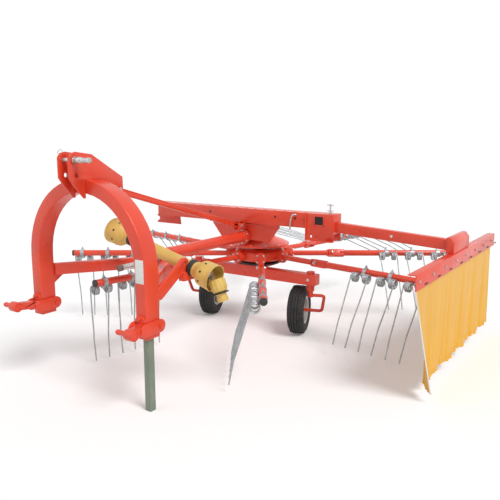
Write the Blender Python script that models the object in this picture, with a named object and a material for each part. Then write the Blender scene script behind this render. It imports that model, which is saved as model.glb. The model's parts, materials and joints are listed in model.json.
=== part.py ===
"""Single-rotor hay rake on a three-point headstock.

Metres, +Z up, the hitch faces -Y and +X is the machine's left, where the swath curtain hangs.
All places below are measured from the rotor's axis on the ground; centre_on_base() then moves
the machine so that the middle of its box stands at the origin.
"""

import math

import bmesh
import bpy
from mathutils import Matrix, Vector

# ---- driving dimensions ------------------------------------------------------------------
GAP = 0.0003                 # seat between touching pieces
BASE_SHIFT = (-0.0915, 0.2130)   # moves the box's middle to the origin (X, Y)

# headstock
ARCH_Y = -1.74               # plane of the arch
ARCH_R = 0.4275              # centre line of the bend, and half the leg spacing
ARCH_Z = 0.78                # height of the bend's centre
ARCH_W = 0.076               # tube across
ARCH_D = 0.105               # tube fore and aft
LEG_FOOT_Z = 0.415           # lower end of the legs
EAR_X = 0.042                # middle of each top-link ear
EAR_T = 0.012
LINK_PIN_R = 0.0125          # top-link pin
TOP_PIN_Y, TOP_PIN_Z = -1.865, 1.350
SPARE_Y, SPARE_Z = -1.850, 1.268
FOOT_Y, FOOT_Z = -1.915, 0.482   # lower-link boss
FOOT_SPLAY = 0.0475          # and how far it stands outside the leg's middle
FOOT_T = 0.012
LOWER_PIN_R = 0.014
LOWER_PIN_L = 0.068

# stand
STAND_W = 0.042
STAND_TOP = 0.500
STAND_POCKET = 0.0436
STAND_TRAVEL = 0.250

# frame
TUBE_R = 0.040
TUBE_Z = 0.725
TUBE_FRONT = -1.080
BLOCK_FRONT = -1.200
STRUT_Z = 0.679
STRUT_H = 0.070
PLATE_Y = -0.205             # headplate, middle of its thickness
PLATE_T = 0.020
PLATE_TOP = 0.835
STAY_FRONT = (-1.548, 1.174)
STAY_REAR = (-0.287, 0.812)
STAY_W = 0.030
STAY_H = 0.036

# rotor
ARMS = 8
ARM_PHASE = 34.0             # degrees of the first arm from +X
ARM_Z = 0.560
HUB_R = 0.200
HUB_LOW, HUB_TOP = 0.510, 0.612
COLUMN_R = 0.055
HUB_BORE = 0.061
SOCKET_R = 0.038
SOCKET_OUT = 0.250
SHAFT_R = 0.021
SHAFT_END = 0.600
ARM_R = 0.023
ARM_IN, ARM_OUT = 0.640, 1.500
TINE_AT = (1.015, 1.220, 1.425)
COIL_R = 0.034
COIL_L = 0.046
COIL_OFF = 0.048
COIL_DROP = 0.065
COIL_TURN = -50.0            # degrees the coils sit round the tube, on its trailing side
WIRE_R = 0.0048

# carriage
BEAM_Y = -0.120
BEAM_HALF = 0.585
BEAM_LOW, BEAM_TOP = 0.395, 0.475
BEAM_D = 0.080
STEM_X = 0.530
STEM_R = 0.020
CASTOR_TURN = 17.0           # degrees the castors stand turned
WHEEL_IN = 0.095             # wheel's middle, inboard of the stem
WHEEL_BACK = 0.050           # and behind it
TYRE_R = 0.184
TYRE_W = 0.126
RIM_R = 0.100
AXLE_R = 0.0125

# curtain gear
CHANNEL_Y = -0.200
CHANNEL_LOW, CHANNEL_TOP = 0.8353, 0.945
CHANNEL_D = 0.110
CHANNEL_X = (-0.850, 0.560)
GUIDE_L = 0.215              # length of the sleeve at the channel's left end
SLIDE_X = (0.120, 1.545)
SLIDE_Z = (0.893, 0.8075)    # middle of the sliding arm at its two ends
SLIDE_W, SLIDE_H = 0.050, 0.070
RAIL_X = 1.600
RAIL_Y = (-0.955, 0.800)
RAIL_Z = (0.665, 0.755)
CURTAIN_Y = (-0.930, 0.720)
CURTAIN_Z = (0.080, 0.740)
CURTAIN_T = 0.006

# stowed drive shaft
PTO_Y = -1.410
PTO_A = (-0.010, 0.868)      # far end of the guard tube (X, Z)
PTO_B = (0.482, 0.738)       # near end of the guard tube
PTO_R = 0.036

PAINTS = {
    "red_paint": (0.80, 0.075, 0.030, 1.0),
    "grey_green_paint": (0.20, 0.25, 0.19, 1.0),
    "black_plastic": (0.03, 0.03, 0.03, 1.0),
    "yellow_plastic": (0.75, 0.52, 0.14, 1.0),
    "bright_steel": (0.55, 0.56, 0.57, 1.0),
    "spring_steel": (0.25, 0.27, 0.28, 1.0),
    "tyre_rubber": (0.02, 0.02, 0.02, 1.0),
    "rim_paint": (0.55, 0.56, 0.56, 1.0),
    "curtain_cloth": (0.80, 0.47, 0.03, 1.0),
}


# ---- small helpers -----------------------------------------------------------------------
def paint(name):
    """One Principled material of its own for a piece."""
    material = bpy.data.materials.new(name)
    material.use_nodes = True
    material.node_tree.nodes["Principled BSDF"].inputs["Base Color"].default_value = PAINTS[name]
    return material


def as_object(bm, name="piece"):
    """Turns a bmesh into a linked object with outward normals."""
    bmesh.ops.remove_doubles(bm, verts=bm.verts, dist=1e-6)
    bmesh.ops.recalc_face_normals(bm, faces=bm.faces)
    mesh = bpy.data.meshes.new(name)
    bm.to_mesh(mesh)
    bm.free()
    obj = bpy.data.objects.new(name, mesh)
    bpy.context.scene.collection.objects.link(obj)
    return obj


def block(low, high, turn=None):
    """Box between two corners, turned afterwards when a matrix is given."""
    bm = bmesh.new()
    bmesh.ops.create_cube(bm, size=1.0)
    size = Vector(high) - Vector(low)
    middle = (Vector(high) + Vector(low)) / 2
    matrix = Matrix.Translation(middle) @ Matrix.Diagonal((*size, 1.0))
    bmesh.ops.transform(bm, matrix=turn @ matrix if turn else matrix, verts=bm.verts)
    return as_object(bm)


def along(a, b):
    """Matrix that puts a Z axis from a to b, with its origin half-way."""
    a, b = Vector(a), Vector(b)
    return Matrix.Translation((a + b) / 2) @ (b - a).to_track_quat("Z", "Y").to_matrix().to_4x4()


def rod(a, b, r, sides=20, r_end=None):
    """Round bar, or a cone when the second radius differs."""
    bm = bmesh.new()
    length = (Vector(b) - Vector(a)).length
    bmesh.ops.create_cone(bm, cap_ends=True, segments=sides, radius1=r,
                          radius2=r if r_end is None else r_end, depth=length)
    bmesh.ops.transform(bm, matrix=along(a, b), verts=bm.verts)
    return as_object(bm)


def plate(outline, axis, low, high):
    """Flat plate: a 2-D outline pushed along one axis from low to high."""
    bm = bmesh.new()
    place = {
        "X": lambda u, v: (low, u, v),
        "Y": lambda u, v: (u, low, v),
        "Z": lambda u, v: (u, v, low),
    }[axis]
    face = bm.faces.new([bm.verts.new(place(u, v)) for u, v in outline])
    grown = bmesh.ops.extrude_face_region(bm, geom=[face])
    moved = [v for v in grown["geom"] if isinstance(v, bmesh.types.BMVert)]
    shift = {"X": (1, 0, 0), "Y": (0, 1, 0), "Z": (0, 0, 1)}[axis]
    bmesh.ops.translate(bm, vec=Vector(shift) * (high - low), verts=moved)
    return as_object(bm)


def rounded(centre_a, centre_b, r, steps=10):
    """Outline of a bar with two round ends."""
    a, b = Vector(centre_a), Vector(centre_b)
    start = math.atan2(*(b - a).yx) + math.pi / 2
    points = []
    for centre, first in ((a, start), (b, start + math.pi)):
        for i in range(steps + 1):
            t = first + math.pi * i / steps
            points.append((centre.x + r * math.cos(t), centre.y + r * math.sin(t)))
    return points


def lathe(profile, sides=40, matrix=None):
    """Turns a closed (radius, height) outline about Z."""
    bm = bmesh.new()
    verts = [bm.verts.new((r, 0, z)) for r, z in profile]
    edges = [bm.edges.new((verts[i], verts[(i + 1) % len(verts)])) for i in range(len(verts))]
    edges = [e for e in edges if max(v.co.x for v in e.verts) > 1e-6]
    bmesh.ops.spin(bm, geom=verts + edges, cent=(0, 0, 0), axis=(0, 0, 1),
                   angle=2 * math.pi, steps=sides, use_merge=True)
    bmesh.ops.remove_doubles(bm, verts=bm.verts, dist=1e-6)
    loose = [v for v in bm.verts if not v.link_faces]
    bmesh.ops.delete(bm, geom=loose, context="VERTS")
    if matrix:
        bmesh.ops.transform(bm, matrix=matrix, verts=bm.verts)
    return as_object(bm)


def bent_bar(points, r, sides=12, corner=0.0):
    """Round bar through a list of points, with rounded corners."""
    path = [Vector(points[0])]
    for before, here, after in zip(points, points[1:], points[2:]):
        before, here, after = Vector(before), Vector(here), Vector(after)
        if corner:
            start = here + (before - here).normalized() * corner
            end = here + (after - here).normalized() * corner
            for i in range(4):
                t = i / 3
                path.append(start * (1 - t) ** 2 + here * 2 * t * (1 - t) + end * t ** 2)
        else:
            path.append(here)
    path.append(Vector(points[-1]))
    bm = bmesh.new()
    rings = []
    for i, spot in enumerate(path):
        ahead = (path[min(i + 1, len(path) - 1)] - spot).normalized() if i < len(path) - 1 else Vector()
        behind = (spot - path[max(i - 1, 0)]).normalized() if i else Vector()
        facing = (ahead + behind).normalized()
        if i == 0:
            side = facing.orthogonal().normalized()
        else:
            side = (side - facing * side.dot(facing)).normalized()
        other = facing.cross(side)
        rings.append([bm.verts.new(spot + r * (math.cos(2 * math.pi * k / sides) * side
                                               + math.sin(2 * math.pi * k / sides) * other))
                      for k in range(sides)])
    for one, two in zip(rings, rings[1:]):
        for k in range(sides):
            bm.faces.new((one[k], one[(k + 1) % sides], two[(k + 1) % sides], two[k]))
    bm.faces.new(rings[0])
    bm.faces.new(rings[-1])
    return as_object(bm)


def combine(base, others, operation="UNION"):
    """Boolean of one mesh with a list of meshes, kept as plain geometry."""
    for other in others:
        step = base.modifiers.new("join", "BOOLEAN")
        step.operation = operation
        step.solver = "EXACT"
        step.object = other
        graph = bpy.context.evaluated_depsgraph_get()
        result = bpy.data.meshes.new_from_object(base.evaluated_get(graph))
        base.modifiers.clear()
        base.data = result
        bpy.data.objects.remove(other)
    return base


def finish(obj, name, colour, pivot=None, parent=None, smooth=False):
    """Names a piece, gives it its paint and puts its origin on its pivot."""
    obj.name = name
    obj.data.name = name
    obj.data.materials.clear()
    obj.data.materials.append(paint(colour))
    if pivot:
        obj.data.transform(Matrix.Translation(-Vector(pivot)))
        obj.location = Vector(pivot)
    if smooth:
        obj.data.shade_smooth()
        obj.data.set_sharp_from_angle(angle=math.radians(35))
    if parent:
        obj.parent = parent
        obj.matrix_parent_inverse = parent.matrix_world.inverted()
    return obj


def pivot_empty(name, spot):
    """Empty on a joint's axis that the moving pieces hang from."""
    empty = bpy.data.objects.new(name, None)
    empty.location = spot
    empty.empty_display_size = 0.1
    bpy.context.scene.collection.objects.link(empty)
    bpy.context.view_layer.update()
    return empty


# ---- headstock ---------------------------------------------------------------------------
def headstock_arch():
    """Bent box tube with a pocket in its left leg for the stand."""
    bm = bmesh.new()
    half_w, half_d = ARCH_W / 2, ARCH_D / 2
    corners = ((-half_w, -half_d), (half_w, -half_d), (half_w, half_d), (-half_w, half_d))
    face = bm.faces.new([bm.verts.new((ARCH_R + u, ARCH_Y + v, LEG_FOOT_Z)) for u, v in corners])
    up = bmesh.ops.extrude_face_region(bm, geom=[face])["geom"]
    bmesh.ops.translate(bm, vec=(0, 0, ARCH_Z - LEG_FOOT_Z),
                        verts=[v for v in up if isinstance(v, bmesh.types.BMVert)])
    top = [g for g in up if isinstance(g, bmesh.types.BMFace)]
    bent = bmesh.ops.spin(bm, geom=top + list(top[0].edges) + list(top[0].verts), cent=(0, ARCH_Y, ARCH_Z),
                          axis=(0, -1, 0), angle=math.pi, steps=24)["geom_last"]
    last = [g for g in bent if isinstance(g, bmesh.types.BMFace)]
    down = bmesh.ops.extrude_face_region(bm, geom=last)["geom"]
    bmesh.ops.translate(bm, vec=(0, 0, LEG_FOOT_Z - ARCH_Z),
                        verts=[v for v in down if isinstance(v, bmesh.types.BMVert)])
    inner = [f for f in bm.faces if abs(f.calc_center_median().z - ARCH_Z) < 1e-6 and abs(f.normal.z) > 0.99]
    if inner:
        bmesh.ops.delete(bm, geom=inner, context="FACES_ONLY")
    arch = as_object(bm)
    half = STAND_POCKET / 2
    pocket = block((ARCH_R - half, ARCH_Y - half, LEG_FOOT_Z - 0.05),
                   (ARCH_R + half, ARCH_Y + half, STAND_TOP + STAND_TRAVEL + 0.008))
    combine(arch, [pocket], "DIFFERENCE")
    return finish(arch, "headstock_arch", "red_paint")


def top_link_ears():
    """Two saddle plates over the crown, joined behind the arch."""
    front = ARCH_Y - ARCH_D / 2 - GAP
    back = ARCH_Y + ARCH_D / 2 + GAP
    crown = ARCH_Z + ARCH_R + ARCH_W / 2 + GAP
    outline = ((front - 0.010, 1.142), (-1.868, 1.212), (-1.897, 1.255), (-1.897, 1.362), (-1.880, 1.385),
               (-1.850, 1.393), (-1.740, 1.378), (-1.518, 1.246), (-1.515, 1.148), (back, 1.148),
               (back, crown), (front, crown), (front, 1.142))
    ears = []
    for side in (-1, 1):
        middle = side * EAR_X
        ear = plate(outline, "X", middle - EAR_T / 2, middle + EAR_T / 2)
        ears.append(ear)
    web = block((-EAR_X, back + 0.006, 1.170), (EAR_X, back + 0.018, 1.300))
    body = combine(ears[0], [ears[1], web])
    holes = [
        rod((-0.1, TOP_PIN_Y, TOP_PIN_Z), (0.1, TOP_PIN_Y, TOP_PIN_Z), LINK_PIN_R + GAP, 24),
        rod((-0.1, SPARE_Y, SPARE_Z), (0.1, SPARE_Y, SPARE_Z), LINK_PIN_R + GAP, 24),
        rod((-0.1, *STAY_FRONT), (0.1, *STAY_FRONT), 0.008 + GAP, 16),
    ]
    combine(body, holes, "DIFFERENCE")
    return finish(body, "top_link_ears", "red_paint")


def top_link_pin():
    pin = rod((-0.066, TOP_PIN_Y, TOP_PIN_Z), (0.172, TOP_PIN_Y, TOP_PIN_Z), LINK_PIN_R, 24)
    return finish(pin, "top_link_pin", "bright_steel", smooth=True)


def stay_bolt(name, spot, half):
    """Cross bolt with two heads."""
    y, z = spot
    shank = rod((-half - 0.012, y, z), (half + 0.012, y, z), 0.008, 16)
    heads = [rod((s * (half + GAP), y, z), (s * (half + 0.012), y, z), 0.014, 6) for s in (-1, 1)]
    return finish(combine(shank, heads), name, "bright_steel")


def lower_foot(name, side):
    """Bracket round a leg's end, with an arm that splays out to the lower link's boss."""
    x = side * ARCH_R
    boss_x = x + side * FOOT_SPLAY
    inner = ARCH_W / 2 + GAP
    front = ARCH_Y - ARCH_D / 2 - GAP
    back = ARCH_Y + ARCH_D / 2 + GAP
    cheeks = []
    for face in (-1, 1):
        low, high = sorted((x + face * inner, x + face * (inner + FOOT_T)))
        cheeks.append(plate(rounded((front - 0.012, 0.474), (-1.694, 0.476), 0.036), "X", low, high))
    strap = block((x - inner - 0.002, back, 0.450), (x + inner + 0.002, back + 0.010, 0.500))
    shelf = block((x - inner - 0.002, front - 0.030, 0.452), (x + inner + 0.002, front, 0.502))
    arm = plate(((x - 0.028, front - 0.010), (x + 0.028, front - 0.010), (boss_x + 0.018, FOOT_Y),
                 (boss_x - 0.018, FOOT_Y)), "Z", 0.460, 0.504)
    boss = rod((boss_x - 0.028, FOOT_Y, FOOT_Z), (boss_x + 0.028, FOOT_Y, FOOT_Z), 0.030, 28)
    body = combine(cheeks[0], [cheeks[1], strap, shelf, arm, boss])
    return finish(body, name, "red_paint")


def lower_pin(name, side):
    """Link pin that stands out of the boss towards the machine's right."""
    x = side * (ARCH_R + FOOT_SPLAY) - 0.028 - GAP
    pin = rod((x - LOWER_PIN_L, FOOT_Y, FOOT_Z), (x, FOOT_Y, FOOT_Z), LOWER_PIN_R, 20)
    return finish(pin, name, "red_paint", smooth=True)


def parking_stand():
    half = STAND_W / 2
    post = block((ARCH_R - half, ARCH_Y - half, 0.0), (ARCH_R + half, ARCH_Y + half, STAND_TOP))
    return finish(post, "parking_stand", "grey_green_paint", pivot=(ARCH_R, ARCH_Y, 0.0))


# ---- frame -------------------------------------------------------------------------------
def main_tube():
    """Round tube from the front block to the flange on the headplate."""
    face = PLATE_Y - PLATE_T / 2 - GAP
    tube = rod((0, BLOCK_FRONT + 0.02, TUBE_Z), (0, face, TUBE_Z), TUBE_R, 28)
    flange = rod((0, face - 0.030, TUBE_Z), (0, face, TUBE_Z), 0.058, 28)
    front = block((-0.045, BLOCK_FRONT, 0.650), (0.045, TUBE_FRONT, 0.755))
    return finish(combine(front, [tube, flange]), "main_tube", "red_paint")


def frame_strut(name, side):
    """Box strut from a leg in to the main tube's front block, with a gusset at the leg."""
    back = ARCH_Y + ARCH_D / 2 + GAP
    inner = 0.045 + GAP
    low, high = STRUT_Z - STRUT_H / 2, STRUT_Z + STRUT_H / 2
    outline = ((side * 0.430, back), (side * 0.382, back), (side * inner, -1.188), (side * inner, -1.092))
    body = plate(outline, "Z", low, high)
    gusset = plate(((back, low + 0.01), (back, 0.585), (back + 0.11, low + 0.01)), "X",
                   side * 0.410 - 0.006, side * 0.410 + 0.006)
    return finish(combine(body, [gusset]), name, "red_paint")


def input_stub():
    """Drive shaft stub that stands out of the front block."""
    start = BLOCK_FRONT - GAP
    collar = rod((0, start - 0.14, 0.702), (0, start, 0.702), 0.028, 24)
    spline = rod((0, start - 0.33, 0.702), (0, start - 0.10, 0.702), 0.0175, 18)
    return finish(combine(collar, [spline]), "input_stub", "bright_steel")


def top_stay():
    """Flat stay from the ears down to the headplate, slotted at its rear end."""
    a = Vector((0, *STAY_FRONT))
    b = Vector((0, *STAY_REAR))
    way = (b - a).normalized()
    turn = Matrix.Translation((a + b) / 2) @ Matrix.Rotation(math.atan2(way.z, way.y), 4, "X")
    half = (b - a).length / 2 + 0.022
    bar = block((-STAY_W / 2, -half, -STAY_H / 2), (STAY_W / 2, half, STAY_H / 2), turn)
    hole = rod(a - Vector((0.1, 0, 0)), a + Vector((0.1, 0, 0)), 0.008 + GAP, 16)
    low = half - 0.022 - 0.090
    slot = block((-0.1, low, -0.0083), (0.1, low + 0.090 + 0.0083, 0.0083), turn)
    combine(bar, [hole, slot], "DIFFERENCE")
    return finish(bar, "top_stay", "red_paint")


def headplate():
    """Upright plate in front of the gearbox, with a shelf on top and a clevis for the stay."""
    front = PLATE_Y - PLATE_T / 2
    back = PLATE_Y + PLATE_T / 2
    upright = plate(((-0.305, PLATE_TOP), (-0.305, 0.810), (-0.215, 0.700), (0.215, 0.700), (0.305, 0.810),
                     (0.305, PLATE_TOP)), "Y", front, back)
    shelf = block((-0.305, CHANNEL_Y - CHANNEL_D / 2, PLATE_TOP - 0.010),
                  (0.305, CHANNEL_Y + CHANNEL_D / 2, PLATE_TOP))
    half = STAY_W / 2 + GAP
    cheeks = [block((min(s * half, s * (half + 0.010)), -0.325, 0.786),
                    (max(s * half, s * (half + 0.010)), front + 0.005, 0.834)) for s in (-1, 1)]
    body = combine(upright, [shelf, *cheeks])
    clear = block((-half, -0.34, 0.77), (half, -0.2590, 0.90))
    hole = rod((-0.1, *STAY_REAR), (0.1, *STAY_REAR), 0.008 + GAP, 16)
    combine(body, [clear, hole], "DIFFERENCE")
    return finish(body, "headplate", "red_paint")


def gearbox():
    """Cast rotor head: wide cover below, drum above, neck forward to the headplate."""
    body = lathe(((0, 0.6353), (0.234, 0.6353), (0.234, 0.648), (0.205, 0.664), (0.132, 0.690),
                  (0.122, 0.700), (0.118, 0.785), (0.092, 0.808), (0, 0.812)), 32)
    neck = rod((0, PLATE_Y + PLATE_T / 2 + GAP, 0.748), (0, -0.05, 0.748), 0.052, 28)
    return finish(combine(body, [neck]), "gearbox", "red_paint", smooth=True)


# ---- rotor -------------------------------------------------------------------------------
def rotor_hub(parent):
    """Drum with a socket for every arm."""
    hub = lathe(((HUB_BORE, HUB_LOW), (0.150, HUB_LOW), (HUB_R - 0.012, HUB_LOW + 0.012),
                 (HUB_R, HUB_LOW + 0.025), (HUB_R, HUB_TOP - 0.022), (HUB_R - 0.030, HUB_TOP),
                 (HUB_BORE, HUB_TOP)), 32)
    for k in range(ARMS):
        t = math.radians(ARM_PHASE + 360 / ARMS * k)
        way = Vector((math.cos(t), math.sin(t), 0))
        foot = Vector((0, 0, ARM_Z))
        socket = rod(foot + way * 0.12, foot + way * (SOCKET_OUT - 0.006), SOCKET_R, 12)
        lip = rod(foot + way * (SOCKET_OUT - 0.014), foot + way * SOCKET_OUT, SOCKET_R + 0.009, 14)
        combine(hub, [socket, lip])
    return finish(hub, "rotor_hub", "red_paint", pivot=(0, 0, ARM_Z), parent=parent)


def arm_matrix(k):
    return (Matrix.Translation((0, 0, ARM_Z))
            @ Matrix.Rotation(math.radians(ARM_PHASE + 360 / ARMS * k), 4, "Z"))


def arm_shaft(k, roll, parent):
    """Inner shaft of one arm, flanged at the hub and flattened at the coupling."""
    start = SOCKET_OUT + GAP
    bar = rod((start + 0.004, 0, 0), (SHAFT_END - 0.055, 0, 0), SHAFT_R, 12)
    flange = rod((start, 0, 0), (start + 0.012, 0, 0), SOCKET_R + 0.006, 14)
    tongue = block((SHAFT_END - 0.065, -0.009, -0.026), (SHAFT_END, 0.009, 0.026))
    body = combine(bar, [flange, tongue])
    body.data.transform(arm_matrix(k) @ Matrix.Rotation(math.radians(roll), 4, "X"))
    return finish(body, f"arm_shaft_{k + 1}", "red_paint", pivot=(0, 0, ARM_Z), parent=parent)


def tine_arm(k, roll, parent):
    """Outer arm with its fork, three clamped double spring tines and their wires."""
    tube = rod((ARM_IN, 0, 0), (ARM_OUT, 0, 0), ARM_R, 10)
    cheek = 0.009 + GAP
    pieces = [block((SHAFT_END - 0.050, s * cheek if s > 0 else -cheek - 0.011, -0.028),
                    (ARM_IN + 0.030, cheek + 0.011 if s > 0 else -cheek, 0.028)) for s in (-1, 1)]
    round_tube = Matrix.Rotation(math.radians(COIL_TURN), 4, "X")
    for r in TINE_AT:
        pieces.append(block((r - 0.014, -0.016, -COIL_DROP - 0.010), (r + 0.014, 0.016, 0), round_tube))
        pieces.append(block((r - COIL_OFF, -0.010, -COIL_DROP - 0.008), (r + COIL_OFF, 0.010, -COIL_DROP + 0.008),
                            round_tube))
        for s in (-1, 1):
            a = round_tube @ Vector((r + s * (COIL_OFF - COIL_L / 2), 0, -COIL_DROP))
            b = round_tube @ Vector((r + s * (COIL_OFF + COIL_L / 2), 0, -COIL_DROP))
            pieces.append(rod(a, b, COIL_R, 8))
            x = b.x - s * WIRE_R * 1.3
            y, z = a.y - COIL_R + WIRE_R * 1.6, a.z
            drift = 0.008 if s < 0 else -0.022
            pieces.append(bent_bar(((x, y + 0.004, z + 0.004), (x, y - 0.010, z - 0.034),
                                    (x + drift * 0.7, a.y - 0.116, z - 0.300), (x + drift, a.y - 0.150, z - 0.463)),
                                   WIRE_R, 4))
    body = combine(tube, pieces)
    body.data.transform(arm_matrix(k) @ Matrix.Rotation(math.radians(roll), 4, "X"))
    return finish(body, f"tine_arm_{k + 1}", "spring_steel", pivot=(0, 0, ARM_Z), parent=parent)


# arm number, roll about its own axis as the cam leaves it (degrees, negative lifts the tips)
ARM_ROLLS = (
    (0, -28.0),
    (1, -58.0),
    (2, -58.0),
    (3, -20.0),
    (4, 14.0),
    (5, 14.0),
    (6, 0.0),
    (7, -9.0),
)


# ---- carriage ----------------------------------------------------------------------------
def wheel_beam():
    """Box beam with a sleeve for a castor stem at each end."""
    body = block((-BEAM_HALF, BEAM_Y - BEAM_D / 2, BEAM_LOW), (BEAM_HALF, BEAM_Y + BEAM_D / 2, BEAM_TOP))
    sleeves = [rod((s * STEM_X, BEAM_Y, BEAM_LOW - 0.020), (s * STEM_X, BEAM_Y, BEAM_TOP + 0.004), 0.031, 24)
               for s in (-1, 1)]
    combine(body, sleeves)
    bores = [rod((s * STEM_X, BEAM_Y, BEAM_LOW - 0.05), (s * STEM_X, BEAM_Y, BEAM_TOP + 0.05),
                 STEM_R + 0.0006, 24) for s in (-1, 1)]
    combine(body, bores, "DIFFERENCE")
    return finish(body, "wheel_beam", "red_paint")


def centre_column():
    """Base plate on the beam and the fixed column that the rotor turns on."""
    base = block((-0.130, BEAM_Y - BEAM_D / 2, BEAM_TOP + GAP), (0.130, 0.080, BEAM_TOP + 0.012))
    column = lathe(((0, BEAM_TOP + 0.004), (0.085, BEAM_TOP + 0.004), (0.085, 0.4915), (COLUMN_R, 0.4915),
                    (COLUMN_R, 0.6350), (0, 0.6350)), 28)
    return finish(combine(base, [column]), "centre_column", "red_paint")


def cam_plate():
    """Dark cam track ring under the rotor hub, the hub's thrust seat in its middle."""
    ring = lathe(((COLUMN_R + GAP, 0.4918), (0.170, 0.4918), (0.170, 0.5020), (0.100, 0.5030),
                  (0.096, HUB_LOW - GAP), (COLUMN_R + GAP, HUB_LOW - GAP)), 28)
    return finish(ring, "cam_plate", "black_plastic")


def castor(side, name):
    """Matrix of a castor unit: its stem on the axis, turned as it stands."""
    return (Matrix.Translation((side * STEM_X, BEAM_Y, 0))
            @ Matrix.Rotation(math.radians(CASTOR_TURN), 4, "Z"))


def castor_leg(side, name, parent):
    """Upright stem, cranked bar round the outside of the tyre, and the axle."""
    stem = rod((0, 0, 0.300), (0, 0, BEAM_TOP + 0.004 + GAP + 0.002), STEM_R, 24)
    cap = rod((0, 0, BEAM_TOP + 0.004 + GAP), (0, 0, BEAM_TOP + 0.016), 0.030, 24)
    collar = rod((0, 0, BEAM_LOW - 0.048), (0, 0, BEAM_LOW - 0.020 - GAP), 0.029, 24)
    bar = bent_bar(((-side * 0.006, 0, 0.314), (side * 0.105, 0.004, 0.314), (side * 0.080, WHEEL_BACK, TYRE_R),
                    (side * 0.000, WHEEL_BACK, TYRE_R)), 0.0125, 8, 0.022)
    axle = rod((side * 0.004, WHEEL_BACK, TYRE_R), (-side * (WHEEL_IN + 0.046), WHEEL_BACK, TYRE_R), AXLE_R, 18)
    body = combine(stem, [cap, collar, bar, axle])
    body.data.transform(castor(side, name))
    return finish(body, f"castor_leg_{name}", "red_paint", pivot=(side * STEM_X, BEAM_Y, 0.4), parent=parent)


def wheel_matrix(side, name):
    return (castor(side, name) @ Matrix.Translation((-side * WHEEL_IN, WHEEL_BACK, TYRE_R))
            @ Matrix.Rotation(math.radians(90), 4, "Y"))


def rim(side, name, parent):
    half = 0.052
    body = lathe(((AXLE_R + 0.0004, -0.038), (0.026, -0.038), (0.028, -0.011), (0.080, -0.010),
                  (0.088, -half + 0.003), (RIM_R + 0.006, -half), (RIM_R - 0.008, -half + 0.016),
                  (RIM_R - 0.008, half - 0.016), (RIM_R + 0.006, half), (0.088, half - 0.003),
                  (0.080, 0.010), (0.028, 0.011), (0.026, 0.038), (AXLE_R + 0.0004, 0.038)), 24)
    body.data.transform(wheel_matrix(side, name))
    return finish(body, f"rim_{name}", "rim_paint", pivot=wheel_matrix(side, name).translation, parent=parent,
                  smooth=True)


def tyre(side, name, parent):
    half = TYRE_W / 2
    body = lathe(((RIM_R - 0.0077, -0.0358), (RIM_R + 0.0063, -0.0515), (0.118, -half + 0.004),
                  (0.142, -half), (0.164, -half + 0.009), (0.178, -0.034), (TYRE_R, -0.012), (TYRE_R, 0.012),
                  (0.178, 0.034), (0.164, half - 0.009), (0.142, half), (0.118, half - 0.004),
                  (RIM_R + 0.0063, 0.0515), (RIM_R - 0.0077, 0.0358)), 24)
    body.data.transform(wheel_matrix(side, name))
    return finish(body, f"tyre_{name}", "tyre_rubber", pivot=wheel_matrix(side, name).translation,
                  parent=parent, smooth=True)


# ---- curtain gear ------------------------------------------------------------------------
def slide_matrix():
    """Frame of the sliding arm: X runs out along it, the origin at its middle."""
    a = Vector((SLIDE_X[0], CHANNEL_Y, SLIDE_Z[0]))
    b = Vector((SLIDE_X[1], CHANNEL_Y, SLIDE_Z[1]))
    dip = math.atan2(SLIDE_Z[0] - SLIDE_Z[1], SLIDE_X[1] - SLIDE_X[0])
    return Matrix.Translation((a + b) / 2) @ Matrix.Rotation(dip, 4, "Y")


def guide_channel():
    """Inverted channel across the machine, open below."""
    low, high = CHANNEL_X
    half = CHANNEL_D / 2
    body = block((low, CHANNEL_Y - half, CHANNEL_LOW), (high, CHANNEL_Y + half, CHANNEL_TOP))
    hollow = block((low - 0.05, CHANNEL_Y - half + 0.007, CHANNEL_LOW - 0.05),
                   (high + 0.05, CHANNEL_Y + half - 0.007, CHANNEL_TOP - 0.007))
    combine(body, [hollow], "DIFFERENCE")
    return finish(body, "guide_channel", "red_paint")


def near_guide():
    """Sleeve at the channel's left end, with two cheeks that hang below the sliding arm."""
    low, high = CHANNEL_X[1] + GAP, CHANNEL_X[1] + GAP + GUIDE_L
    body = block((low, CHANNEL_Y - 0.060, 0.752), (high, CHANNEL_Y + 0.060, CHANNEL_TOP))
    w, h = SLIDE_W / 2 + 0.0008, SLIDE_H / 2 + 0.0008
    way = block((-2.0, -w, -h), (2.0, w, h), slide_matrix())
    under = block((low - 0.05, CHANNEL_Y - 0.050, 0.700), (high + 0.05, CHANNEL_Y + 0.050, 0.806))
    hole = rod((low + 0.040, CHANNEL_Y - 0.1, 0.782), (low + 0.040, CHANNEL_Y + 0.1, 0.782), 0.009, 16)
    combine(body, [way, under, hole], "DIFFERENCE")
    return finish(body, "near_guide", "red_paint")


def guide_screw():
    """Clamp screw on the sleeve, with a wing and a winged lock nut."""
    x = CHANNEL_X[1] + GAP + GUIDE_L - 0.056
    foot = CHANNEL_TOP + GAP
    screw = rod((x, CHANNEL_Y, foot), (x, CHANNEL_Y, foot + 0.068), 0.006, 12)
    nut = rod((x, CHANNEL_Y, foot), (x, CHANNEL_Y, foot + 0.010), 0.012, 6)
    wings = [rod((x - 0.024, CHANNEL_Y, z), (x + 0.024, CHANNEL_Y, z), 0.004, 8) for z in (foot + 0.020, foot + 0.060)]
    return finish(combine(screw, [nut, *wings]), "guide_screw", "bright_steel")


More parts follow.
